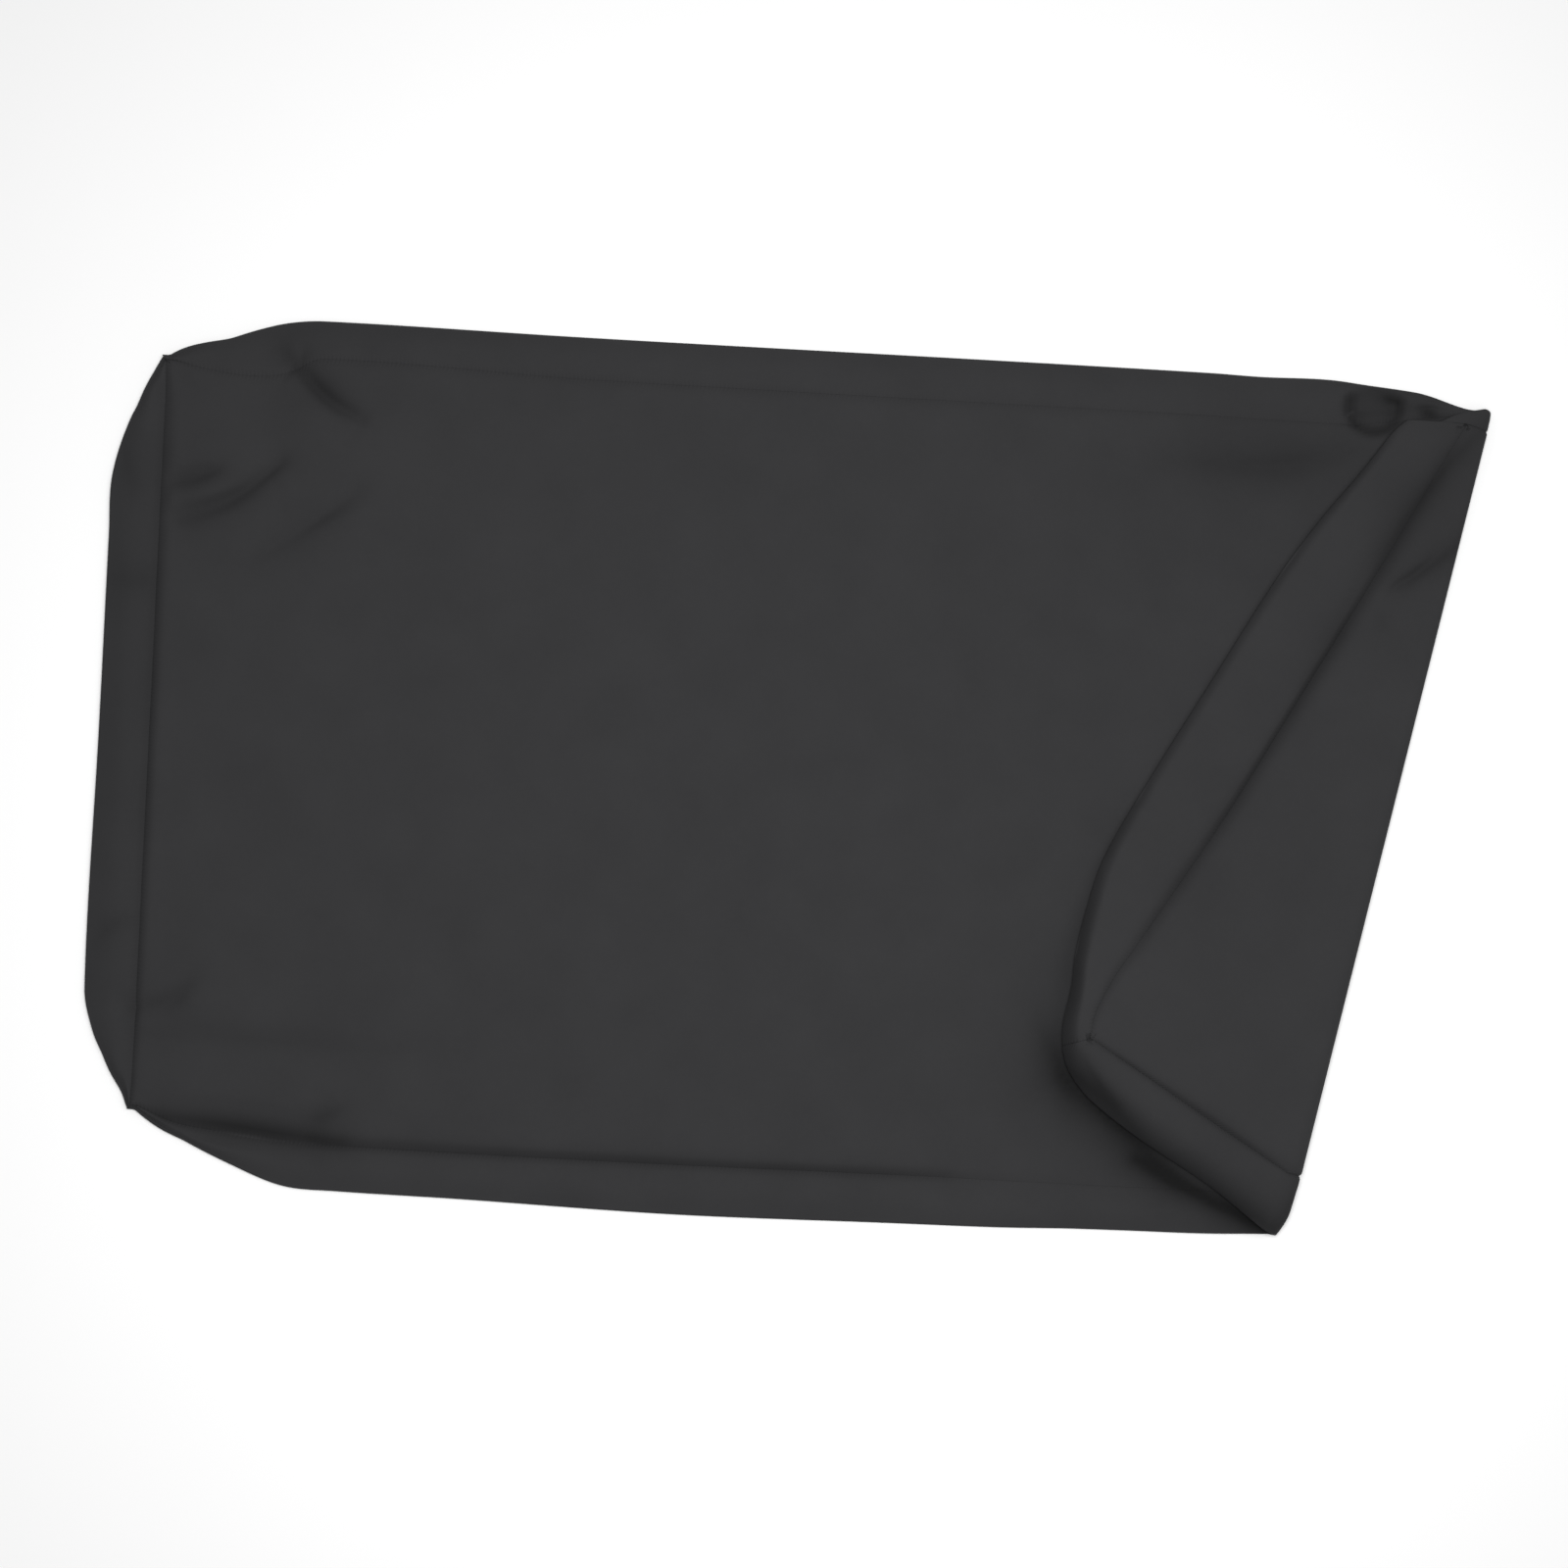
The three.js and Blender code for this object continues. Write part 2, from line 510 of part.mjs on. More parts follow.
// The strip at the right end, on the flap.
function endStrip() {
  const column = { zone: "flap", share: 1 };
  const shifts = { 0: toward(110, CORNER_SHIFT), 1: toward(269, CORNER_SHIFT) };
  const sections = [0, ...ROWS, 1].map((row) => {
    const [heading, reach, level] = readAll(END, ["heading", "inwards", "level"], row);
    return section({ column, row, out: toward(heading), reach, level, shift: shifts[row] });
  });
  return stripSolid(sections);
}

function piece(name, geometry) {
  const charcoal = new THREE.MeshStandardMaterial({ color: 0x373737, roughness: 0.86, metalness: 0 });
  const mesh = new THREE.Mesh(geometry, charcoal);
  mesh.name = name;
  return mesh;
}

const cover = new THREE.Group();
cover.add(
  piece("top_panel", panelSolid("top", TOP_COLUMNS)),
  piece("bottom_panel", panelSolid("bottom", BOTTOM_COLUMNS)),
  piece("front_strip", longStrip("front")),
  piece("back_strip", longStrip("back")),
  piece("left_strip", leftStrip()),
  piece("end_strip", endStrip()),
);

// The part's origin is the middle of its footprint, on the floor.
const box = new THREE.Box3().setFromObject(cover);
const centre = box.getCenter(new THREE.Vector3());
cover.position.set(-centre.x, -centre.y, -box.min.z);

export default cover;
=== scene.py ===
"""An empty dog bed cover in charcoal cloth, lying flat, its front right corner folded back over the top.

Sizes are in millimetres, in a plan whose origin lies beside the top panel's front left corner. X runs right,
Y back and Z up. A point of the plan is a complex number, X + Yj. Meshes are made in this plan and put into
the part's frame, in metres. A share runs from 0 to 1 along the cloth, from its left end or from the fold, and
a row from 0 to 1 across it, from front to back.
"""
import math
from typing import NamedTuple

import bpy
import numpy as np
from mathutils import Matrix, Vector


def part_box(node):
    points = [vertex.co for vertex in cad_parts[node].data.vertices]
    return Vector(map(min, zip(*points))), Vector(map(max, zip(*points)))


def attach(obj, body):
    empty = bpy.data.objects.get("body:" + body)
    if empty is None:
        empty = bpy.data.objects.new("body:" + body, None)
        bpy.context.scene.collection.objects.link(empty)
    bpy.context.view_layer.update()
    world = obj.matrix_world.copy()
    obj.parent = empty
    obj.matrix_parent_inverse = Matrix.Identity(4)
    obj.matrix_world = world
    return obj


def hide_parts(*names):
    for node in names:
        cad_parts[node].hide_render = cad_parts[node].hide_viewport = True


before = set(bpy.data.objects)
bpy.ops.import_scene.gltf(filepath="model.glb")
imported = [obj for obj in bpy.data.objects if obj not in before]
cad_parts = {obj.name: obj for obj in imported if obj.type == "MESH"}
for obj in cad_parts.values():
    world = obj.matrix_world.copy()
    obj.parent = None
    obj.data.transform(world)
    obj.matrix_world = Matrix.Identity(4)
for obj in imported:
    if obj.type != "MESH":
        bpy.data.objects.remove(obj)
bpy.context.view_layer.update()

# How many metres a millimetre is.
METRES = 0.001


def table(names, *rows):
    """A table with named columns, as one array for each column."""
    return {name: np.array(column) for name, column in zip(names.split(), zip(*rows))}


# The cut pieces.
PANEL_LENGTH = 1067
PANEL_WIDTH = 584
STRIP_WIDTH = 76
CLOTH = 1.2
HALF = CLOTH / 2

# Heights of a layer's middle above the outer face of the bottom panel, and how much higher the top is beside
# its seams.
BOTTOM_LEVEL = HALF
TOP_OPEN = 5.0
TOP_UNDER_FLAP = 4.1
TOP_LOWEST = 2.3
SEAM_RISE = 1.3
SEAM_RISE_REACH = 26
FOLD_LEVEL_FRONT = 4.9
FOLD_LEVEL_BACK = 4.0

# The panels, and their corners at the left end. The bottom panel's lie a little inside.
PANELS = ("top", "bottom")
LEFT_CORNERS = {
    "top": {"front": -5.5 + 0j, "back": -17 + 560j},
    "bottom": {"front": 6 + 6j, "back": -4 + 543j},
}

# The cloth rolls down into the groove of each seam: the roll's sample places, as shares of its width, and the
# share of its depth that is left at each.
ROLL_SHARES = np.array([0, 0.08, 0.2, 0.35, 0.54, 0.76])
ROLL_FALL = (1 - ROLL_SHARES) ** 1.6
# The width and depth of a plain seam's roll, and the width of a strip's.
PLAIN_ROLL = 2.4
PLAIN_DEPTH = 2.1
PLAIN = {"roll": PLAIN_ROLL, "depth": PLAIN_DEPTH}
STRIP_ROLL = 7
# The pieces that a seam joins stand a hair apart. The inner face starts further in and sinks less.
SEAM_GAP = 0.03
INNER_START = SEAM_GAP + 0.75 * CLOTH
INNER_RISE = 0.33 * CLOTH
INNER_LEAST_DEPTH = 0.2
# In the solids a panel's edge lies this far inside its seam.
CAD_EDGE = 0.15
# Where each face lies beside the cloth's middle, and its least height above the floor in the top layer.
ASIDE = {"outer": HALF, "inner": -HALF}
LOWEST_FACE = {"outer": 1.75, "inner": 1.5}
# How gently the top layer's level comes to its lowest, in square millimetres.
SETTLING = 1.2
# How far from a seam the sample places are moved to make room for its roll.
ROLL_REACH = 90

# The fold: its outline seen from above, and the bottom panel's radius round it at each end.
FOLD_FRONT = 862 - 7j
FOLD_BACK = 986 + 573j
FOLD_RADIUS_FRONT = 11
FOLD_RADIUS_BACK = 4.6
# Where each panel's front and back seams cross the fold, measured along it from its front end.
CROSSING = {"top": {"front": -17, "back": 588}, "bottom": {"front": 0, "back": 577}}
# The shares of the main part between which its seams and strips turn to where they cross the fold.
TOWARDS_FOLD = (0.9, 1)
# How far to the right of the fold's axis the top layer starts and ends its way to the fold's level.
NEAR_FOLD = (-60, 0)

# The bottom panel's corners on the flap, and the flap's left edge, where it lies on the top panel.
FLAP_CORNER = 700 + 87j
FLAP_TIP = 966 + 562j
FLAP_EDGE_FOOT = 682 + 85j
FLAP_EDGE_HEAD = 909 + 551j
FLAP_EDGE_BOW = 40
# Below 1, this moves the bow's widest place towards the edge's foot.
FLAP_EDGE_SKEW = 0.75
# How far to the right of that edge the top layer starts and ends being pressed down, and losing its relief.
PRESSED_DOWN = (-95, -25)
RELIEF_FADES = (-30, 5)
# The flap's upper face: its height at rest, how much higher its end lies, how far from the fold it comes to
# rest, and where its troughs start. Away from the fold it is about this long.
FLAP_HEIGHT = 10.8
FLAP_END_RISE = 0.5
FLAP_FOLD_REACH = 95
FLAP_TROUGHS_START = 25
FLAP_LENGTH = 150
# How much the flap is puffed up, and the rows over which that starts and ends.
FLAP_PUFF = 3.6
PUFF_STARTS = (0.2, 0.42)
PUFF_ENDS = (0.84, 1)
# How high the flap's front corner is lifted above that, the lift's reach over rows and shares, and what is
# left of it at the fold.
LIFT_HEIGHT = 21
LIFT_ROW_REACH = 0.42
LIFT_SHARE_REACH = 0.85
LIFT_NEAR_FOLD = 0.15

# Along the front: the top panel's seam, the strip's reach from it, how far the strip dips beside the seam,
# and the width of the panel's roll and its depth.
FRONT = table(
    "x seam reach dip roll depth",
    (0, 0, 2.6, 0, 4, 1.2),
    (28, -11, 9, 1, 12, 3.8),
    (70, -17, 22, 2.4, 18, 5.6),
    (110, -21, 32, 2, 16, 5.4),
    (150, -22, 33, 0.8, 12, 5),
    (240, -23, 33, 0.3, 9, 4.4),
    (400, -23, 36, 0.1, 7, 3.6),
    (560, -22, 35, 0.2, 8, 3.6),
    (640, -22, 34, 0.1, 8, 1.4),
    (700, -22, 32, 0, 8, 0.5),
    (790, -22, 31, 0, 6, 0.4),
    (860, -24, 30, 0, 4, 0.4),
)
# The same along the back, where a deep wrinkle steps the seam near the left corner.
BACK = table(
    "x seam reach dip roll depth",
    (-11, 560, 4, 0, 4, 1.2),
    (12, 555, 17, 0.2, 6, 1.4),
    (45, 551, 34, 0.2, 9, 1.8),
    (72, 553, 40, 0.3, 9, 1.4),
    (100, 566, 30, 0.3, 9, 1.4),
    (300, 562, 32, 0, 9, 2),
    (600, 560, 33, 0, 9, 1.6),
    (770, 559, 33, 0, 9, 1.4),
    (810, 558, 33, 0, 6, 0.9),
    (870, 558, 33, 0, 4, 0.8),
    (925, 561, 21, 0, 4, 1.2),
    (965, 565, 6, 0, 4, 1.2),
    (990, 569, 5, 0, 4, 1.2),
)
# The same at the left end, by the share of the way from front to back.
LEFT = table(
    "share reach dip roll depth",
    (0, 2.4, 0, 4, 1.2),
    (0.03, 8, 0, 5, 1.8),
    (0.066, 23, 0, 6, 2.4),
    (0.1, 32, 0, 6, 2.8),
    (0.15, 38.5, 0, 7, 3.2),
    (0.5, 37.5, 0, 7, 3.4),
    (0.76, 37.3, 0.2, 8, 3.8),
    (0.84, 37, 0.4, 10, 4.4),
    (0.92, 25, 0.6, 10, 4.2),
    (0.97, 9.5, 0.4, 6, 2.6),
    (1, 3, 0, 4, 1.2),
)
# The strip's right end, on the flap, by the share of the way from the flap's corner to its tip. reach runs
# from the bottom panel's seam to the edge, and inwards from the edge to the top panel's seam. heading is the
# way the strip points, in degrees from +X, level the depth of its bend below the flap's face, and bow how far
# its seam curves. roll and depth are the bottom panel's, and shoulder is the share of the strip that rounds
# down to its edge.
END = table(
    "share reach inwards heading level bow roll depth shoulder",
    (0, 19, 16, 200, 18, 0, 4, 1.2, 0.8),
    (0.03, 20, 16, 152, 17.6, 6, 5, 2, 0.65),
    (0.085, 31, 25, 151, 16, 8, 7, 3.4, 0.42),
    (0.14, 43, 28, 151, 13.8, 6, 9, 4.4, 0.3),
    (0.22, 56, 26, 151, 10.6, 3, 10, 5, 0.2),
    (0.35, 62, 17, 151, 7.4, -1, 10, 5.2, 0.15),
    (0.5, 62, 14, 151, 6.8, -1.5, 11, 5.2, 0.14),
    (0.68, 61, 14, 151, 6.8, -1.5, 12, 5, 0.14),
    (0.78, 56, 18, 151, 6.4, -1, 13, 4.2, 0.15),
    (0.86, 49, 24, 152, 6, -0.5, 12, 2.6, 0.16),
    (0.93, 45, 27, 157, 4.6, 0, 7, 1.4, 0.16),
    (1, 45, 28, 179, 2.7, 0, 4, 1.4, 0.12),
)
BOW_HEADING = 151
# On the flap, the top panel's seam lies this much deeper than the middle of the strip's bend.
SEAM_BELOW_BEND = 1.1
# The front strip on the flap, by the share of the way along the flap's front seam from the fold.
FLAP_FRONT = table(
    "share reach heading level roll depth",
    (0, 28, 248, 7, 3, 1.2),
    (0.25, 27, 241, 12.6, 5, 2.4),
    (0.6, 32, 240, 17.2, 5, 2.2),
    (0.84, 32, 239, 19, 4, 1.8),
    (0.94, 27, 233, 18.8, 4, 1.4),
    (1, 16, 200, 18, 3, 1),
)
FLAP_FRONT_SHOULDER = 0.62
PLAIN_SHOULDER = 0.2
# Beside the flap's tip the back strip is pressed down to this reach, and its bend to this depth. It turns to
# this heading between these shares of the flap, and the panel's roll beside it is this deep.
TIP_REACH = 5
TIP_LEVEL = 2.6
TIP_HEADING = 179
TIP_TURN = (0.3, 1)
TIP_DEPTH = 0.5
# The way each long strip points before the fold, at its left corner, at the fold and just past it.
HEADINGS = {"front": (270, 225, 258, 248), "back": (90, 135, 78, 95)}

# The strip's bend along its middle: its radius and its height above the floor. Round the fold, a long strip's
# bend comes to its height on the flap over this share of the turn.
BEND = 1.5
BEND_LEVEL = BOTTOM_LEVEL + BEND
BEND_SETTLES = 0.6
# How much a strip's upper half bulges, and the reaches at which that starts and is full.
UPPER_BULGE = 1.8
UPPER_BULGE_REACHES = (4, 20)
# The same where the strip is the flap's upper face. Below 1, the skew moves the bulge towards the bend.
FLAP_BULGE = 1.6
FLAP_BULGE_REACHES = (12, 40)
FLAP_BULGE_SKEW = 0.8
# A strip sinks at least this deep at its seam with the top panel.
STRIP_LEAST_DEPTH = 0.8
# How far from its corners a strip turns to their diagonals: a long strip's share, and the left one's rows.
LONG_STRIP_TURN = 0.05
LEFT_STRIP_TURNS = (0.07, 0.93)
# At a corner two strips stand this far to each side of the line they share, their first and last sections
# moved these ways.
CORNER_SHIFT = 0.07
SHIFT_HEADINGS = {"front": (315, 290), "back": (45, 89), "left": (135, 225), "end": (110, 269)}

# A crease: the line it follows, how far that bows, its reach to a side and its depth.
CREASE = "start end bow width depth"
# Soft troughs in the upper layer.
TROUGHS = table(
    CREASE,
    (84 + 558j, 132 + 522j, -4, 9, 16),
    (-6 + 468j, 26 + 478j, 1, 6, 8.6),
    (0 + 441j, 74 + 486j, -6, 8, 11),
    (58 + 414j, 130 + 466j, -3, 11, 7),
    (-6 + 72j, 32 + 90j, -4, 8, 7.4),
    (0 + 54j, 190 + 52j, 3, 8, 2.8),
    (120 - 14j, 152 + 8j, 2, 9, 2.6),
    (786 + 524j, 880 + 540j, -7, 13, 10),
)
# Painted shade: darkness put into the cloth's colour along creases, seams and hollows, over parts of the
# strips, and as a painted shadow beside the flap's lifted corner. Here depth is the darkness, from 0 to 1.
PAINTED_SHADES = table(
    CREASE,
    (72 + 572j, 128 + 526j, -4, 8, 0.4),
    (-10 + 467j, 26 + 478j, 1, 7, 0.22),
    (0 + 441j, 74 + 486j, -6, 8, 0.26),
    (50 + 410j, 130 + 466j, -3, 12, 0.12),
    (-12 + 70j, 32 + 92j, -4, 5, 0.18),
    (-4 + 53j, 190 + 50j, 2, 6, 0.12),
    (16 - 6j, 150 - 19j, 0, 8, 0.58),
    (128 - 4j, 150 + 4j, 0, 7, 0.24),
    (130 - 18j, 600 - 20j, 0, 5, 0.2),
    (-8 + 20j, -20 + 540j, 0, 5, 0.14),
    (-30 + 60j, -44 + 500j, 0, 20, 0.08),
    (20 + 582j, 300 + 598j, 0, 20, 0.07),
    (740 + 524j, 892 + 540j, -6, 24, 0.3),
    (-46 + 391j, -20 + 391j, 0, 12, 0.12),
    (-44 + 490j, -36 + 450j, 0, 8, 0.12),
    (-40 + 118j, -16 + 138j, 3, 6, 0.16),
    (902 + 580j, 914 + 577j, 0, 5, 0.4),
    (930 + 573j, 946 + 567j, 0, 6, 0.6),
    # These three rows: a painted shadow on the top panel just outside the flap's lifted corner and front
    # edge.
    (663 + 96j, 690 + 38j, 3, 16, 0.4),
    (684 + 56j, 766 - 8j, 0, 15, 0.72),
    (740 - 2j, 866 - 60j, 0, 9, 0.92),
)
# The same painted shade on the flap, in its creases and seams and along its front strip's edge.
FLAP_PAINTED_SHADES = table(
    CREASE,
    (849 + 356j, 905 + 466j, 2, 8, 0.16),
    (903 + 458j, 982 + 564j, 3, 12, 0.4),
    (974 + 482j, 918 + 436j, 3, 8, 0.34),
    (898 + 402j, 914 + 414j, 0, 14, 0.12),
    (780 + 160j, 800 + 250j, 4, 26, 0.08),
    (690 + 84j, 724 + 38j, -3, 4, 0.3),
    # These three rows: painted shade along the front strip's outer edge, where it rounds down, and at its end
    # by the fold.
    (666 + 74j, 760 - 4j, 6, 9, 0.42),
    (756 - 2j, 846 - 48j, 0, 12, 0.66),
    (858 - 14j, 850 - 50j, 0, 6, 0.26),
    (738 + 166j, 953 + 538j, -5.5, 4, 0.2),
    (703 + 85j, 858 - 5j, 0, 3, 0.22),
)
# Cloth this high above the floor, and this far to the right of the flap's left edge, belongs to the flap and
# takes the flap's painted shade.
FLAP_LOWEST = 9
FLAP_LEFTMOST = -20
# The painted shade starts between these heights, so the underside has none, and is this strong at most.
PAINTED_SHADE_HEIGHTS = (1.2, 2.4)
PAINTED_SHADE_DARKEST = 0.82
# How round a trough's bottom and a ridge's top are.
CREASE_ROUND = 1.6
# Broad swellings of the cloth that the troughs cut into.
RIDGES = table(
    CREASE,
    (78 + 556j, 132 + 520j, -3, 23, 14),
    (0 + 455j, 70 + 475j, -2, 24, 8.4),
    (70 + 425j, 140 + 455j, -2, 26, 5),
    (0 + 80j, 60 + 80j, 0, 24, 5),
    (0 + 10j, 130 + 4j, 4, 16, 2.6),
    (786 + 526j, 880 + 540j, -6, 30, 6.5),
)
# Soft troughs in the flap, and a swelling.
FLAP_TROUGHS = table(
    CREASE,
    (898 + 446j, 978 + 561j, 5, 7, 1.4),
    (966 + 480j, 914 + 434j, 3, 8, 9.6),
    (755 + 130j, 800 + 250j, 6, 22, 1.6),
    (850 + 348j, 905 + 352j, 0, 7, 1.2),
    (905 + 402j, 912 + 418j, 0, 9, 1.2),
    (900 + 430j, 960 + 470j, 0, 24, -7.6),
)
# Small wrinkles of the strips where they lie on the floor, and where they lie on the flap.
STRIP_TROUGHS = table(
    CREASE,
    (62 + 578j, 86 + 560j, 1, 4, 1),
    (380 - 47j, 414 - 29j, 2, 5, 1.3),
    (588 - 26j, 602 - 40j, 1, 5, 0.8),
    (652 - 34j, 676 - 42j, -1, 5, 0.8),
    (-38 + 392j, -8 + 390j, 2, 6, 1.3),
    (-44 + 486j, -36 + 452j, 2, 6, 1),
    (-38 + 122j, -12 + 138j, 3, 5, 1.2),
    (316 + 600j, 326 + 586j, 1, 5, 0.6),
    (518 + 598j, 530 + 578j, 1, 5, 0.6),
    (600 + 596j, 604 + 580j, 1, 5, 0.6),
    (776 + 594j, 784 + 576j, 1, 5, 0.6),
    (905 + 584j, 912 + 577j, 0, 4, 2.4),
    (934 + 573j, 944 + 568j, 0, 4, 2.6),
)
FLAP_STRIP_TROUGHS = table(
    CREASE,
    (700 + 150j, 668 + 165j, 2, 7, 1),
    (742 + 262j, 712 + 280j, -2, 6, 0.8),
    (846 + 460j, 820 + 440j, 2, 6, 0.8),
)
# The puckered end of the back seam beside the flap: a low swelling inside a trough that rings its front half.
PUCKER = 897 + 573j
PUCKER_RADIUS = 19.5
PUCKER_WIDTH = 3.8
PUCKER_DEPTH = 7
PUCKER_SWELL = 3
PUCKER_SWELL_REACH = 1.5 * PUCKER_RADIUS
# The ring ends between these distances behind the middle. It has painted shade, and so has the cloth inside
# it, out to between these shares of the radius.
PUCKER_BACK = (4, 16)
PUCKER_PAINTED_SHADE = 0.5
PUCKER_INNER_PAINTED_SHADE = 0.2
PUCKER_INNER_EDGE = (0.6, 1)
# Seams gather the cloth beside them in small waves, this high and reaching this far.
GATHER_HEIGHT = 0.22
GATHER_REACH = 12
# A slow unevenness of the open top.
SWELL_HEIGHT = 0.35

# How finely the cloth is sampled: the far end of each stretch and the step in it.
TOP_STEPS = ((170, 2.4), (700, 4.2), (842, 3.6))
BOTTOM_STEPS = ((842, 14),)
ROW_STEPS = ((42, 2.6), (400, 5.4), (542, 3.2), (581.5, 2.6))
STRIP_STEPS = ((180, 2.2), (842, 3.0))
# Beside a corner a strip's second sample lies this far from its first.
STRIP_START = 4
# The angles sampled round the fold, and how many steps each panel and each long strip has along the flap.
FOLD_ANGLES = np.radians(np.linspace(0, 180, 15))
FLAP_STEPS = {"top": 26, "bottom": 110}
FLAP_STRIP_STEPS = {"front": 63, "back": 8}


def lerp(a, b, t):
    return a + (b - a) * t


def toward(degrees):
    """The plan direction of a heading."""
    return np.exp(1j * np.radians(degrees))


def smooth(low, high, value):
    t = np.clip((value - low) / (high - low), 0, 1)
    return t * t * (3 - 2 * t)


def soft_floor(value):
    """The value where it is well above zero, easing out to zero below."""
    return 0.5 * (value + np.sqrt(value**2 + SETTLING))


def stepped(stretches, start):
    """Places from start to the last stretch's far end, with each stretch's own step."""
    places = [np.array([start])]
    for far, step in stretches:
        count = max(1, round((far - start) / step))
        places.append(np.linspace(start, far, count + 1)[1:])
        start = far
    return np.concatenate(places)


def spread(places, roll, reach=ROLL_REACH):
    """Sample places from a seam inwards, moved to start where the seam's roll ends."""
    return places + (roll - PLAIN_ROLL) * np.clip((reach - places) / (reach - PLAIN_ROLL), 0, 1)


def seam_roll(face, roll, depth):
    """Samples across the roll at a seam: how far inwards each lies, and how far the face sinks there."""
    roll = np.asarray(roll)[..., None]
    depth = np.asarray(depth)[..., None]
    start = SEAM_GAP
    if face == "inner":
        start = INNER_START
        depth = np.maximum(INNER_LEAST_DEPTH, depth - INNER_RISE)
    return start + (roll - start) * ROLL_SHARES, depth * ROLL_FALL


def read(rows, column, at):
    """A table's column at places along its first one, on a smooth curve through its rows."""
    x = next(iter(rows.values()))
    y = rows[column]
    last = len(x) - 1
    low = np.maximum(np.arange(last + 1) - 1, 0)
    high = np.minimum(np.arange(last + 1) + 1, last)
    slope = (y[high] - y[low]) / (x[high] - x[low])
    at = np.clip(at, x[0], x[-1])
    i = np.clip(np.searchsorted(x, at) - 1, 0, last - 1)
    step = x[i + 1] - x[i]
    t = (at - x[i]) / step
    ends = y[i] * (1 + 2 * t) * (1 - t) ** 2 + y[i + 1] * t * t * (3 - 2 * t)
    return ends + step * t * (1 - t) * (slope[i] * (1 - t) - slope[i + 1] * t)


def creases(rows, plan):
    """Depth of a table's soft creases at points of the plan. Each fades towards its ends."""
    total = np.zeros(np.shape(plan))
    for start, end, bow, width, depth in zip(*rows.values()):
        length = abs(end - start)
        turned = (plan - start) * (end - start).conjugate() / length
        t = np.clip(turned.real / length, 0, 1)
        past = turned.real - t * length
        aside = turned.imag - bow * np.sin(math.pi * t)
        fade = 0.5 + 0.5 * np.sin(math.pi * t)
        away = np.sqrt(aside**2 + past**2 + CREASE_ROUND**2) - CREASE_ROUND
        total += depth * fade * np.exp(-away / width)
    return total


def pucker_front(plan):
    """1 at points in front of the pucker's middle, falling to 0 behind it."""
    return 1 - smooth(*PUCKER_BACK, (plan - PUCKER).imag)


def pucker(plan):
    away = abs(plan - PUCKER)
    ring = PUCKER_DEPTH * np.exp(-abs(away - PUCKER_RADIUS) / PUCKER_WIDTH)
    return PUCKER_SWELL * np.exp(-((away / PUCKER_SWELL_REACH) ** 2)) - ring * pucker_front(plan)


def painted_shade(points):
    """Painted shade: how much the cloth's colour is darkened, from 0 to 1, at points of its outer face, for
    shade in its creases, seams and hollows and the shadow beside the flap.
    """
    plan = points[..., 0] + 1j * points[..., 1]
    height = points[..., 2]
    away = abs(plan - PUCKER)
    ring = np.exp(-(((away - PUCKER_RADIUS) / PUCKER_WIDTH) ** 2)) * pucker_front(plan)
    inside = 1 - smooth(*PUCKER_INNER_EDGE, away / PUCKER_RADIUS)
    below = creases(PAINTED_SHADES, plan) + PUCKER_PAINTED_SHADE * ring + PUCKER_INNER_PAINTED_SHADE * inside
    on_flap_side = (past_flap_edge(plan) > FLAP_LEFTMOST) & (height > FLAP_LOWEST)
    shade = np.where(on_flap_side, creases(FLAP_PAINTED_SHADES, plan), below)
    return np.clip(shade * smooth(*PAINTED_SHADE_HEIGHTS, height), 0, PAINTED_SHADE_DARKEST)


def swell(plan):
    """Low waves of unlike lengths, so that no pattern repeats."""
    x = plan.real
    y = plan.imag
    slow = np.sin(x / 31 + y / 57) * np.sin(y / 26 - x / 83 + 1)
    quick = np.sin(x / 17 - y / 23) * np.sin(y / 71 + 2)
    return SWELL_HEIGHT * (slow + 0.5 * quick)


def gathered(along, away):
    """Small waves of uneven length along a seam, which die out away from it."""
    waves = np.sin(along / 5.3 + 2 * np.sin(along / 23)) + np.sin(along / 9.1 + 2)
    return GATHER_HEIGHT * 0.5 * waves * np.exp(-((away / GATHER_REACH) ** 2))


def past_flap_edge(plan):
    """How far to the right of the flap's left edge points of the plan lie."""
    t = (plan.imag - FLAP_EDGE_FOOT.imag) / (FLAP_EDGE_HEAD - FLAP_EDGE_FOOT).imag
    bow = FLAP_EDGE_BOW * np.sin(math.pi * np.clip(t, 0, 1) ** FLAP_EDGE_SKEW)
    return plan.real - lerp(FLAP_EDGE_FOOT.real, FLAP_EDGE_HEAD.real, t) + bow


def relief(plan):
    """Rise and fall of the upper layer where it lies open. It fades out under the flap."""
    under = smooth(*RELIEF_FADES, past_flap_edge(plan))
    return (1 - under) * (creases(RIDGES, plan) - creases(TROUGHS, plan) + swell(plan)) + pucker(plan)


FOLD_LENGTH = abs(FOLD_BACK - FOLD_FRONT)
ALONG = (FOLD_BACK - FOLD_FRONT) / FOLD_LENGTH
ACROSS = ALONG / 1j


def fold_radius(s):
    return lerp(FOLD_RADIUS_FRONT, FOLD_RADIUS_BACK, s / FOLD_LENGTH)


def axis_point(s):
    """A point of the fold's axis, seen from above, at a distance along the fold."""
    return FOLD_FRONT + ALONG * s - ACROSS * (fold_radius(s) + HALF)


def fold_place(panel, row):
    return lerp(CROSSING[panel]["front"], CROSSING[panel]["back"], row)


def fold_level(row):
    return lerp(FOLD_LEVEL_FRONT, FOLD_LEVEL_BACK, row)


MAIN_LENGTH = axis_point(CROSSING["top"]["front"]).real


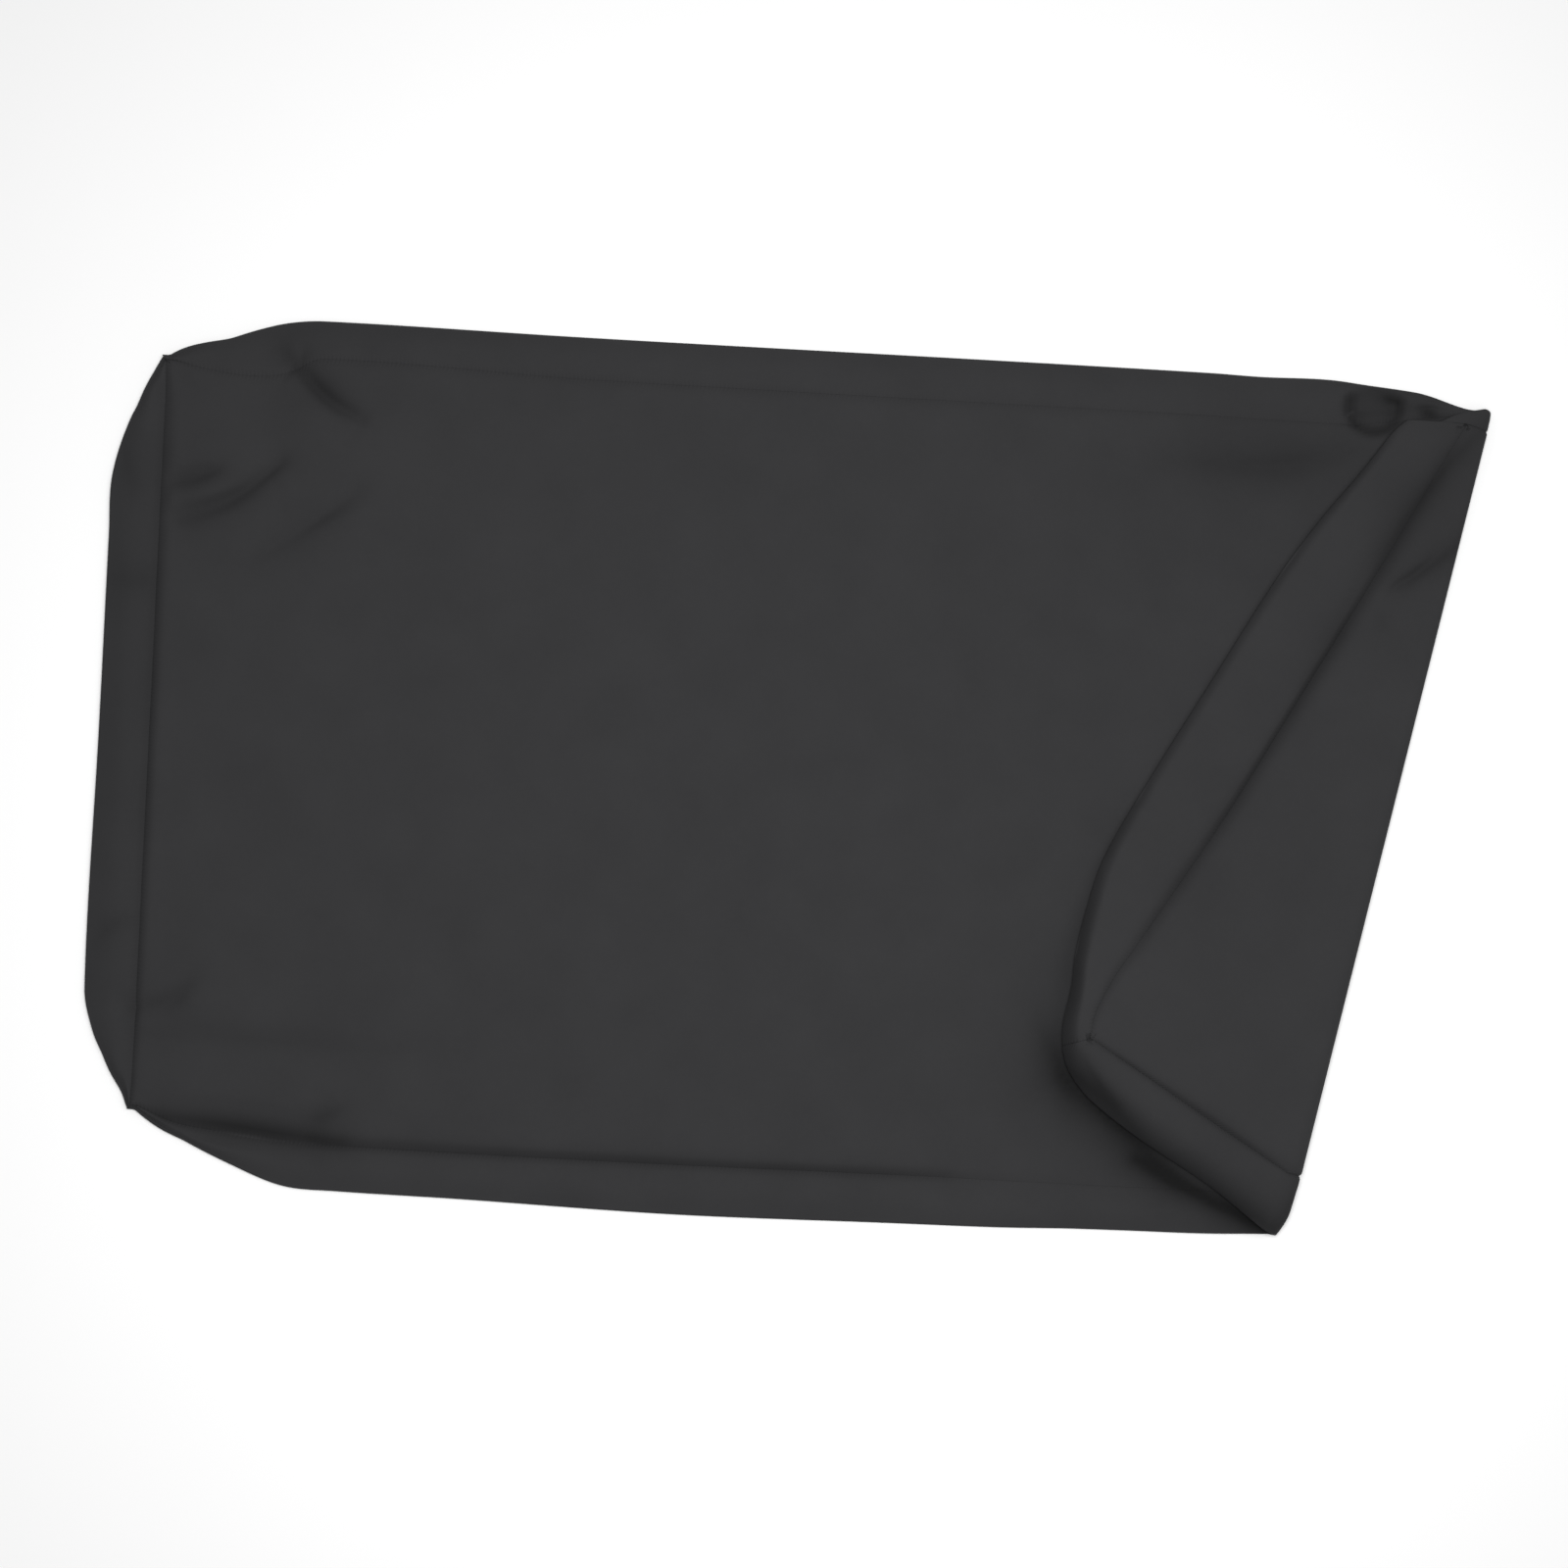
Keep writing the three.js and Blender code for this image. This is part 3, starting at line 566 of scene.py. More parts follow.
class Place(NamedTuple):
    """Points of the bottom layer's outer face, the way from them to the top layer, and that layer's level."""

    plan: np.ndarray
    z: np.ndarray
    lean: np.ndarray
    up: np.ndarray
    level: np.ndarray

    def over(self, height):
        """The points at a height over these, along their own way up, as X, Y and Z."""
        plan = self.plan + self.lean * height
        z = self.z + self.up * height
        return np.stack(np.broadcast_arrays(plan.real, plan.imag, z), axis=-1)

    def moved(self, step):
        return self._replace(plan=self.plan + step)


def placed(*parts):
    return Place(*np.broadcast_arrays(*parts))


def joined(*places):
    return Place(*(np.concatenate(parts) for parts in zip(*places)))


def main_ends(panel, share):
    """The front and back ends of columns of a panel's main part. The bottom panel's seams run straight."""
    for side, seam in (("front", FRONT), ("back", BACK)):
        at_fold = axis_point(CROSSING[panel][side])
        end = lerp(LEFT_CORNERS[panel][side], at_fold, share)
        if panel == "top":
            y = lerp(read(seam, "seam", end.real), at_fold.imag, smooth(*TOWARDS_FOLD, share))
            end = end.real + 1j * y
        yield end


def on_main(panel, share, row):
    """Places on the part that lies on the floor, by the share of its length and the row."""
    front, back = main_ends(panel, share)
    plan = lerp(front, back, row)
    under = smooth(*PRESSED_DOWN, past_flap_edge(plan))
    near_fold = smooth(*NEAR_FOLD, plan.real - axis_point(fold_place(panel, row)).real)
    lying = lerp(lerp(TOP_OPEN, TOP_UNDER_FLAP, under), fold_level(row), near_fold)
    to_side = np.minimum(row, 1 - row) * PANEL_WIDTH
    to_left = share * PANEL_LENGTH
    rise = SEAM_RISE * (1 - smooth(0, SEAM_RISE_REACH, np.minimum(to_side, to_left)))
    rise = rise + gathered(plan.real, to_side) + gathered(plan.imag, to_left)
    level = lying + rise * (1 - under) + relief(plan)
    return placed(plan, 0, 0, 1, TOP_LOWEST + soft_floor(level - TOP_LOWEST))


def on_fold(panel, angle, row):
    """Places round the fold, by the angle turned through and the row."""
    s = fold_place(panel, row)
    out = np.sin(angle) * ACROSS
    radius = fold_radius(s) + HALF
    z = radius * (1 - np.cos(angle))
    return placed(axis_point(s) + radius * out, z, -out, np.cos(angle), fold_level(row))


def end_seam(panel, row):
    """A panel's end seam on the flap, by the share of the way from its front corner to its back one."""
    bottom = lerp(FLAP_CORNER, FLAP_TIP, row) + toward(BOW_HEADING) * read(END, "bow", row)
    if panel == "bottom":
        return bottom
    between = read(END, "reach", row) - read(END, "inwards", row)
    return bottom + between * toward(read(END, "heading", row))


def flap_top(share, row, s, distance, plan):
    """Height of the flap's upper face. It falls from the fold to its rest, and its front corner stands up."""
    fold = CLOTH + 2 * fold_radius(s)
    puffed = FLAP_PUFF * (1 - smooth(*PUFF_ENDS, row)) * smooth(*PUFF_STARTS, row)
    rest = FLAP_HEIGHT + FLAP_END_RISE * share + puffed
    near = 1 - smooth(0, FLAP_FOLD_REACH, distance)
    outward = lerp(LIFT_NEAR_FOLD, 1, smooth(0, LIFT_SHARE_REACH, share))
    lifted = LIFT_HEIGHT * (1 - smooth(0, LIFT_ROW_REACH, row)) * outward
    dips = creases(FLAP_TROUGHS, plan) * smooth(0, FLAP_TROUGHS_START, distance)
    dips = dips - gathered(plan.imag, (1 - share) * FLAP_LENGTH) - gathered(plan.real, row * PANEL_WIDTH)
    return lerp(rest + lifted, fold, near) - dips


def on_flap(panel, share, row):
    """Places on the flap, by the share of the way from the fold to its end seam and the row."""
    s = fold_place(panel, row)
    axis = axis_point(s)
    plan = lerp(axis, end_seam(panel, row), share)
    seam_level = read(END, "level", row) + SEAM_BELOW_BEND
    level = lerp(fold_level(row), seam_level, smooth(0, 1, share))
    return placed(plan, flap_top(share, row, s, abs(plan - axis), plan), 0, -1, level)


def side_roll(panel, side, column, main, flap):
    """The width or depth of a panel's roll along its front or back seam: on the main part, fold and flap."""
    on_main_part = np.full(len(main), PLAIN[column])
    on_flap_part = np.full(len(flap), PLAIN[column])
    if panel == "top":
        front, back = main_ends("top", main)
        seam, end = (FRONT, front) if side == "front" else (BACK, back)
        on_main_part = read(seam, column, end.real)
    elif side == "front":
        on_flap_part = read(FLAP_FRONT, column, flap)
    elif column == "depth":
        on_flap_part = np.full(len(flap), TIP_DEPTH)
    round_fold = np.linspace(on_main_part[-1], on_flap_part[0], len(FOLD_ANGLES))
    return np.concatenate([on_main_part, round_fold, on_flap_part])


def end_roll(panel, end, column, row):
    """The width or the depth of a panel's roll along its left seam, or its seam at the flap's end."""
    if (panel, end) == ("top", "left"):
        return read(LEFT, column, row)
    if (panel, end) == ("bottom", "flap"):
        return read(END, column, row)
    return np.full(len(row), PLAIN[column])


def panel_face(panel, face, distances, rows):
    """The points of one face of a panel, in columns from its left end to the flap's end."""
    steps = FLAP_STEPS[panel]
    zeros = np.zeros(len(ROLL_SHARES))
    ones = np.ones(len(ROLL_SHARES))
    main = np.concatenate([zeros, distances]) / MAIN_LENGTH
    flap = np.concatenate([np.arange(1, steps) / steps, ones])
    plain_row = np.concatenate([zeros, rows / PANEL_WIDTH, ones])

    # The rows: across the front roll, the open cloth and the back roll.
    sides = {}
    for side in ("front", "back"):
        roll, depth = (side_roll(panel, side, column, main, flap) for column in ("roll", "depth"))
        sides[side] = (roll[:, None], *seam_roll(face, roll, depth))
    front_roll, front_in, front_drop = sides["front"]
    back_roll, back_in, back_drop = sides["back"]
    spread_rows = spread(rows, front_roll) + (PANEL_WIDTH - rows) - spread(PANEL_WIDTH - rows, back_roll)
    row = np.concatenate([front_in, spread_rows, PANEL_WIDTH - back_in[:, ::-1]], axis=1) / PANEL_WIDTH
    flat = np.zeros((len(row), len(rows)))
    row_drop = np.concatenate([front_drop, flat, back_drop[:, ::-1]], axis=1)

    # The columns: across the left roll, the main part, the fold, the flap and the roll at its end.
    ends = {}
    for end in ("left", "flap"):
        roll, depth = (end_roll(panel, end, column, plain_row) for column in ("roll", "depth"))
        inwards, drop = seam_roll(face, roll, depth)
        ends[end] = (roll, inwards.T, drop.T)
    left_roll, left_in, left_drop = ends["left"]
    flap_roll, flap_in, flap_drop = ends["flap"]
    main_share = np.concatenate([left_in, spread(distances[:, None], left_roll)]) / MAIN_LENGTH
    at_main, at_fold, at_flap = np.split(row, [len(main), len(main) + len(FOLD_ANGLES)])
    width = abs(end_seam(panel, plain_row) - axis_point(fold_place(panel, plain_row)))
    from_end = lerp(width, PLAIN_ROLL, np.arange(1, steps)[:, None] / steps)
    from_end = spread(from_end, flap_roll, np.minimum(ROLL_REACH, width))
    flap_share = 1 - np.concatenate([from_end, flap_in[::-1]]) / width
    middle = np.zeros((len(distances) + len(FOLD_ANGLES) + steps - 1, row.shape[1]))
    drop = np.maximum(row_drop, np.concatenate([left_drop, middle, flap_drop[::-1]]))

    places = joined(
        on_main(panel, main_share, at_main),
        on_fold(panel, FOLD_ANGLES[:, None], at_fold),
        on_flap(panel, flap_share, at_flap),
    )
    half = ASIDE[face]
    if panel == "top":
        return places.over(np.maximum(places.level + half - drop, LOWEST_FACE[face]))
    return places.over(BOTTOM_LEVEL - half + drop)


def panel_cloth(panel, steps):
    distances = stepped(steps, PLAIN_ROLL)
    rows = stepped(ROW_STEPS, PLAIN_ROLL)
    return cloth_piece(panel + "_panel_cloth", *(panel_face(panel, face, distances, rows) for face in ASIDE))


class Sections(NamedTuple):
    """A strip's cross-sections: its two seams, the way it points, its size and the shape of its edges."""

    top: Place
    bottom: Place
    out: np.ndarray
    reach: np.ndarray
    level: np.ndarray = BEND_LEVEL
    dip: np.ndarray = 0
    top_depth: np.ndarray = PLAIN_DEPTH
    bottom_roll: np.ndarray = PLAIN_ROLL
    bottom_depth: np.ndarray = PLAIN_DEPTH
    shoulder: np.ndarray = PLAIN_SHOULDER


# Sample places across a strip's upper half, round its bend and across its lower half, closest at the bend.
UPPER_SHARES = np.linspace(0, 1, 13)[1:-1]
BEND_SHARES = np.linspace(0, 1, 9)
LOWER_SHARES = np.linspace(0, 1, 25)[1:-1] ** 1.5


def strip_face(face, strip):
    """The points of one face of a strip, from the top panel's seam round its bend to the bottom panel's."""
    top, bottom, out, reach, level, dip = strip[:6]
    half = ASIDE[face]
    leg_end = reach - BEND
    upper_roll = np.minimum(STRIP_ROLL, 0.5 * leg_end)
    lower_roll = np.minimum(strip.bottom_roll, 0.5 * leg_end)
    bend_base = top.moved(out * leg_end)
    lower_start = bottom.moved(out * lower_roll)
    points = []

    # The upper half. The panel's relief at the seam fades out across it.
    facing_up = np.maximum(0, top.up)
    panel_relief = relief(top.plan) * facing_up
    rolled = seam_roll(face, upper_roll, strip.top_depth)
    for inwards, drop in zip(*(values.T for values in rolled)):
        height = np.maximum(top.level - dip + half - drop, LOWEST_FACE[face])
        points.append(top.moved(out * inwards).over(height))
    for t in UPPER_SHARES:
        base = top.moved(out * lerp(upper_roll, leg_end, t))
        bulge = UPPER_BULGE * np.sin(math.pi * t) * smooth(*UPPER_BULGE_REACHES, reach)
        raised = (pucker(base.plan) - creases(STRIP_TROUGHS, base.plan)) * facing_up
        by_panel = panel_relief - pucker(top.plan) * facing_up - dip
        slope = lerp(top.level - panel_relief, level + BEND, t)
        height = slope + bulge + by_panel * (1 - t) ** 3 + raised + half
        points.append(base.over(np.maximum(height, LOWEST_FACE[face])))

    # The bend, which turns until it meets the slope of the lower half.
    fall = np.maximum(0, level - BEND - BOTTOM_LEVEL)
    length = strip.shoulder * abs(bend_base.plan - lower_start.plan)
    turned = np.arctan(2 * fall / length)
    radius = BEND + half
    for t in BEND_SHARES:
        angle = lerp(math.pi / 2, turned - math.pi / 2, t)
        points.append(bend_base.moved(out * radius * np.cos(angle)).over(level + radius * np.sin(angle)))
    leg_start = bend_base.moved(out * radius * np.cos(angle))
    start_height = level + radius * np.sin(angle)

    # The lower half, which is the upper face on the flap.
    for t in LOWER_SHARES:
        base = bottom._replace(
            plan=lerp(leg_start.plan, lower_start.plan, t),
            z=lerp(leg_start.z, lower_start.z, t),
        )
        fallen = np.clip(1 - t / strip.shoulder, 0, 1) ** 2
        bulge = FLAP_BULGE * np.sin(math.pi * t**FLAP_BULGE_SKEW) * smooth(*FLAP_BULGE_REACHES, reach)
        sunk = (creases(FLAP_STRIP_TROUGHS, base.plan) - bulge) * np.maximum(0, -bottom.up)
        points.append(base.over(lerp(BOTTOM_LEVEL - half, start_height, fallen) + sunk))
    rolled = seam_roll(face, lower_roll, strip.bottom_depth)
    for inwards, drop in reversed(list(zip(*(values.T for values in rolled)))):
        points.append(bottom.moved(out * inwards).over(BOTTOM_LEVEL - half + drop))
    return np.stack(points, axis=1)


def strip_cloth(side, strip):
    strip = strip._replace(top_depth=np.maximum(strip.top_depth - strip.dip, STRIP_LEAST_DEPTH))
    strip = Sections(*strip[:2], *np.broadcast_arrays(*strip[2:]))
    faces = [strip_face(face, strip) for face in ASIDE]
    for column, heading in zip((0, -1), SHIFT_HEADINGS[side]):
        shift = CORNER_SHIFT * toward(heading)
        for points in faces:
            points[column, :, :2] += (shift.real, shift.imag)
    return cloth_piece(side + "_strip_cloth", *faces)


def long_strip(side):
    """The front or back strip: along the main part, round the fold and along the flap."""
    front = side == "front"
    row, seam = (0.0, FRONT) if front else (1.0, BACK)
    before, corner, at_fold, past = HEADINGS[side]
    share = np.concatenate([[0], stepped(STRIP_STEPS, STRIP_START)]) / MAIN_LENGTH
    turn = 1 - smooth(0, LONG_STRIP_TURN, share)
    heading = lerp(lerp(before, corner, turn), at_fold, smooth(*TOWARDS_FOLD, share))
    main_out = toward(heading) * lerp(1, math.sqrt(2), turn)
    t = FOLD_ANGLES / math.pi
    fold_out = toward(lerp(at_fold, past, t))
    flap_share = np.linspace(0, 1, FLAP_STRIP_STEPS[side] + 1)[1:]
    if front:
        fold_reach = lerp(FRONT["reach"][-1], FLAP_FRONT["reach"][0], t)
        past_level = FLAP_FRONT["level"][0]
        flap_out = toward(read(FLAP_FRONT, "heading", flap_share))
        flap_reach = read(FLAP_FRONT, "reach", flap_share)
        flap_level = read(FLAP_FRONT, "level", flap_share)
    else:
        fold_reach = flap_reach = TIP_REACH
        past_level = flap_level = TIP_LEVEL
        flap_out = toward(lerp(past, TIP_HEADING, smooth(*TIP_TURN, flap_share)))
    counts = (len(share), len(t), len(flap_share))

    def along(*parts):
        """Values on the main part, round the fold and along the flap, as one array."""
        return np.concatenate([np.broadcast_to(part, count) for part, count in zip(parts, counts)])

    seams = [
        joined(on_main(panel, share, row), on_fold(panel, FOLD_ANGLES, row), on_flap(panel, flap_share, row))
        for panel in PANELS
    ]
    seam_x = seams[0].plan.real[: len(share)]
    fold_level = lerp(BEND_LEVEL, past_level, smooth(0, BEND_SETTLES, t))
    fold_shoulder = lerp(PLAIN_SHOULDER, FLAP_FRONT_SHOULDER, t)
    sections = Sections(
        *seams,
        out=along(main_out, fold_out, flap_out),
        reach=along(read(seam, "reach", seam_x), fold_reach, flap_reach),
        level=along(BEND_LEVEL, fold_level, flap_level),
        dip=along(read(seam, "dip", seam_x), 0, 0),
        top_depth=side_roll("top", side, "depth", share, flap_share),
        bottom_roll=side_roll("bottom", side, "roll", share, flap_share),
        bottom_depth=side_roll("bottom", side, "depth", share, flap_share),
        shoulder=along(PLAIN_SHOULDER, fold_shoulder, FLAP_FRONT_SHOULDER),
    )
    return strip_cloth(side, sections)


SHORT_ROWS = np.concatenate([[0], stepped(ROW_STEPS, STRIP_START) / PANEL_WIDTH, [1]])


def left_strip():
    row = SHORT_ROWS
    turn_front = 1 - smooth(0, LEFT_STRIP_TURNS[0], row)
    turn_back = smooth(LEFT_STRIP_TURNS[1], 1, row)
    heading = 180 + 45 * turn_front - 45 * turn_back
    out = toward(heading) * lerp(1, math.sqrt(2), np.maximum(turn_front, turn_back))
    sections = Sections(
        *(on_main(panel, 0, row) for panel in PANELS),
        out=out,
        reach=read(LEFT, "reach", row),
        dip=read(LEFT, "dip", row),
        top_depth=read(LEFT, "depth", row),
    )
    return strip_cloth("left", sections)


def end_strip():
    """The strip at the right end, on the flap."""
    row = SHORT_ROWS
    sections = Sections(
        *(on_flap(panel, 1, row) for panel in PANELS),
        out=toward(read(END, "heading", row)),
        reach=read(END, "inwards", row),
        level=read(END, "level", row),
        bottom_roll=read(END, "roll", row),
        bottom_depth=read(END, "depth", row),
        shoulder=read(END, "shoulder", row),
    )
    return strip_cloth("end", sections)


def plan_origin():
    """The plan's origin in the part's frame. The bottom panel's box is at the same place in both."""
    left = on_main("bottom", CAD_EDGE / MAIN_LENGTH, 1.0).plan.real
    front = on_fold("bottom", math.pi / 2, CAD_EDGE / PANEL_WIDTH).plan.imag
    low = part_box("bottom_panel")[0]
    return np.array([low.x - left * METRES, low.y - front * METRES, 0])


ORIGIN = plan_origin()


def shell_quads(columns, rows):
    """The faces of a closed shell between an outer and an inner grid of points, joined round their border."""
    at = np.arange(2 * columns * rows).reshape(2, columns, rows)
    outer, inner = at
    quads = [
        np.stack([outer[:-1, :-1], outer[1:, :-1], outer[1:, 1:], outer[:-1, 1:]], axis=-1),
        np.stack([inner[:-1, :-1], inner[:-1, 1:], inner[1:, 1:], inner[1:, :-1]], axis=-1),
    ]
    for edge, flip in ((at[:, :, 0], 1), (at[:, :, -1], -1), (at[:, 0, :], -1), (at[:, -1, :], 1)):
        quads.append(np.stack([edge[0, :-1], edge[1, :-1], edge[1, 1:], edge[0, 1:]], axis=-1)[:, ::flip])
    return np.concatenate([quad.reshape(-1, 4) for quad in quads])


def length_along(points, axis):
    """How far along the cloth each point lies, in metres, by the grid's columns or rows."""
    steps = np.linalg.norm(np.diff(points, axis=axis), axis=-1)
    start = np.zeros_like(np.take(steps, [0], axis=axis))
    return np.cumsum(np.concatenate([start, steps], axis=axis), axis=axis)


def signed_volume(points, quads):
    """Six times the volume inside the faces, below zero where they point inwards."""
    a, b, c, d = (points[quads[:, k]] for k in range(4))
    return float(np.einsum("ij,ij->", a, np.cross(b, c)) + np.einsum("ij,ij->", a, np.cross(c, d)))


def mark_rims(mesh, columns, rows):
    """Marks the cut edges as sharp, so that they don't shade the cloth beside them."""
    column, row = np.divmod(np.arange(2 * columns * rows) % (columns * rows), rows)
    at_rim = (column % (columns - 1) == 0) | (row % (rows - 1) == 0)
    ends = np.empty(2 * len(mesh.edges), np.int32)
    mesh.edges.foreach_get("vertices", ends)
    ends = ends.reshape(-1, 2)
    same_face = ends[:, 0] // (columns * rows) == ends[:, 1] // (columns * rows)
    sharp = mesh.attributes.new("sharp_edge", "BOOLEAN", "EDGE")
    sharp.data.foreach_set("value", at_rim[ends].all(axis=1) & same_face)


def added(name, data):
    """A new object in the scene."""
    made = bpy.data.objects.new(name, data)
    bpy.context.scene.collection.objects.link(made)
    return made


def cloth_piece(name, outer, inner):
    """A piece of cloth from the points of its two faces, with maps of its threads and seams, and of the shade
    painted into its colour.
    """
    # Painted shade for each point of the outer face, copied to the inner one.
    shade = painted_shade(outer).ravel()
    outer = outer * METRES + ORIGIN
    inner = inner * METRES + ORIGIN
    columns, rows = outer.shape[:2]
    points = np.concatenate([outer.reshape(-1, 3), inner.reshape(-1, 3)])
    quads = shell_quads(columns, rows)
    if signed_volume(points, quads) < 0:
        quads = quads[:, ::-1]
    mesh = bpy.data.meshes.new(name)
    mesh.from_pydata(points.tolist(), [], quads.tolist())
    u = length_along(outer, 0)
    v = length_along(outer, 1)
    from_ends = np.minimum(u, u[-1:, :] - u)
    from_sides = np.minimum(v, v[:, -1:] - v)
    along = np.where(from_ends < from_sides, v, u)
    maps = {"threads": (u, v), "seams": (along, np.minimum(from_ends, from_sides))}
    for layer, pair in maps.items():
        flat = np.tile(np.stack(pair, axis=-1).reshape(-1, 2), (2, 1))
        mesh.uv_layers.new(name=layer).data.foreach_set("uv", flat[quads.ravel()].ravel())
    mesh.attributes.new("painted_shade", "FLOAT", "POINT").data.foreach_set("value", np.tile(shade, 2))
    mesh.shade_smooth()
    mark_rims(mesh, columns, rows)
    return added(name, mesh)


def new_node(tree, kind, inputs=None, **settings):
    """Adds a shader node. Each input takes a value, or is linked where it is given another node's output."""
    node = tree.nodes.new("ShaderNode" + kind)
    for name, value in settings.items():
        setattr(node, name, value)
    for socket, value in (inputs or {}).items():
        if isinstance(value, bpy.types.NodeSocket):
            tree.links.new(value, node.inputs[socket])
        else:
            node.inputs[socket].default_value = value
    return node


def calculated(tree, operation, *values):
    return new_node(tree, "Math", dict(enumerate(values)), operation=operation).outputs[0]


def new_group(name, inputs, outputs):
    """An empty shader node group. Returns it with its inner input and output nodes."""
    group = bpy.data.node_groups.new(name, "ShaderNodeTree")
    for socket, value in inputs.items():
        given = group.interface.new_socket(socket, in_out="INPUT", socket_type="NodeSocketFloat")
        given.default_value = value
    for socket in outputs:
        group.interface.new_socket(socket, in_out="OUTPUT", socket_type="NodeSocketFloat")
    return group, group.nodes.new("NodeGroupInput"), group.nodes.new("NodeGroupOutput")


# The threads' width in metres, and how much thicker slubs are.
THREAD_PITCH = 0.00055
THREAD_SLUB = 0.5
# How finely the noise behind the threads' streaks runs across a thread and along it, to a metre.
ACROSS_THREAD = 2600
ALONG_THREAD = 55
# How far the weave's height swings to each side of its middle.
THREAD_SWING = 0.35


def plain_weave_group():
    """Crossing threads, over and under in turn, with slubs where a thread is thicker."""
    sizes = {"Pitch": THREAD_PITCH, "Slub": THREAD_SLUB}
    group, given, result = new_group("plain_weave", sizes, ["Height", "Streak"])
    flat = new_node(group, "UVMap", uv_map="threads")
    parts = new_node(group, "SeparateXYZ", {0: flat.outputs[0]})
    waves = []
    for axis in (0, 1):
        turns = calculated(group, "DIVIDE", parts.outputs[axis], given.outputs["Pitch"])
        waves.append(calculated(group, "SINE", calculated(group, "MULTIPLY", turns, math.pi)))
    crossing = calculated(group, "MULTIPLY", *waves)
    streaks = []
    for stretch in ((ACROSS_THREAD, ALONG_THREAD, 1), (ALONG_THREAD, ACROSS_THREAD, 1)):
        scaled = new_node(group, "VectorMath", {0: flat.outputs[0], 1: stretch}, operation="MULTIPLY")
        noise = new_node(group, "TexNoise", {"Vector": scaled.outputs[0], "Scale": 1.0, "Detail": 2.0})
        streaks.append(noise.outputs[0])
    streak = calculated(group, "MULTIPLY", calculated(group, "ADD", *streaks), 0.5)
    raised = calculated(group, "MULTIPLY_ADD", crossing, THREAD_SWING, 0.5)
    slubs = calculated(group, "MULTIPLY", calculated(group, "SUBTRACT", streak, 0.5), given.outputs["Slub"])
    group.links.new(calculated(group, "ADD", raised, slubs), result.inputs["Height"])
    group.links.new(streak, result.inputs["Streak"])
    return group


def dye_group():
    """Slow, cloudy unevenness of the dye, from 0 to 1, at two sizes."""
    sizes = {"Cloud size": 0.05, "Fleck size": 0.004}
    group, given, result = new_group("cloudy_dye", sizes, ["Cloud", "Fleck"])
    place = new_node(group, "TexCoord")
    for size, detail, output in (("Cloud size", 3.0, "Cloud"), ("Fleck size", 1.0, "Fleck")):
        scale = calculated(group, "DIVIDE", 1.0, given.outputs[size])
        noise = {"Vector": place.outputs["Object"], "Scale": scale, "Detail": detail}
        group.links.new(new_node(group, "TexNoise", noise).outputs[0], result.inputs[output])
    return group


def stitch_group():
    """The pull of the stitches beside a seam: dimples, one a stitch, that fade out away from it."""
    group, given, result = new_group("stitch_pull", {"Stitch": 0.003, "Reach": 0.0035}, ["Height"])
    flat = new_node(group, "UVMap", uv_map="seams")
    parts = new_node(group, "SeparateXYZ", {0: flat.outputs[0]})
    turns = calculated(group, "DIVIDE", parts.outputs[0], given.outputs["Stitch"])
    wave = calculated(group, "COSINE", calculated(group, "MULTIPLY", turns, 2 * math.pi))
    away = calculated(group, "DIVIDE", parts.outputs[1], given.outputs["Reach"])
    squared = calculated(group, "POWER", away, 2.0)
    near = calculated(group, "EXPONENT", calculated(group, "MULTIPLY", squared, -1.0))
    group.links.new(calculated(group, "MULTIPLY", near, wave), result.inputs["Height"])
    return group


# The cloth's two tones, and the near black that painted shade darkens it towards.
CHARCOAL = (0.0283, 0.0283, 0.0296, 1)
CHARCOAL_LIGHT = (0.0344, 0.0344, 0.0359, 1)
PAINTED_SHADE_COLOUR = (0.002, 0.002, 0.002, 1)
# How far the dye's clouds and the threads' streaks mix the two shades, from this start.
CLOUD_MIX = 1.1
STREAK_MIX = 0.5
MIX_START = -0.3
# The roughness, how much the dye's flecks add to it, and how much light the cloth mirrors.
ROUGHNESS = 0.78
FLECK_ROUGHNESS = 0.12
SPECULAR = 0.1
# How deep the weave and the pull of the stitches are, in metres.
WEAVE_RELIEF = 0.00003
STITCH_RELIEF = 0.00008


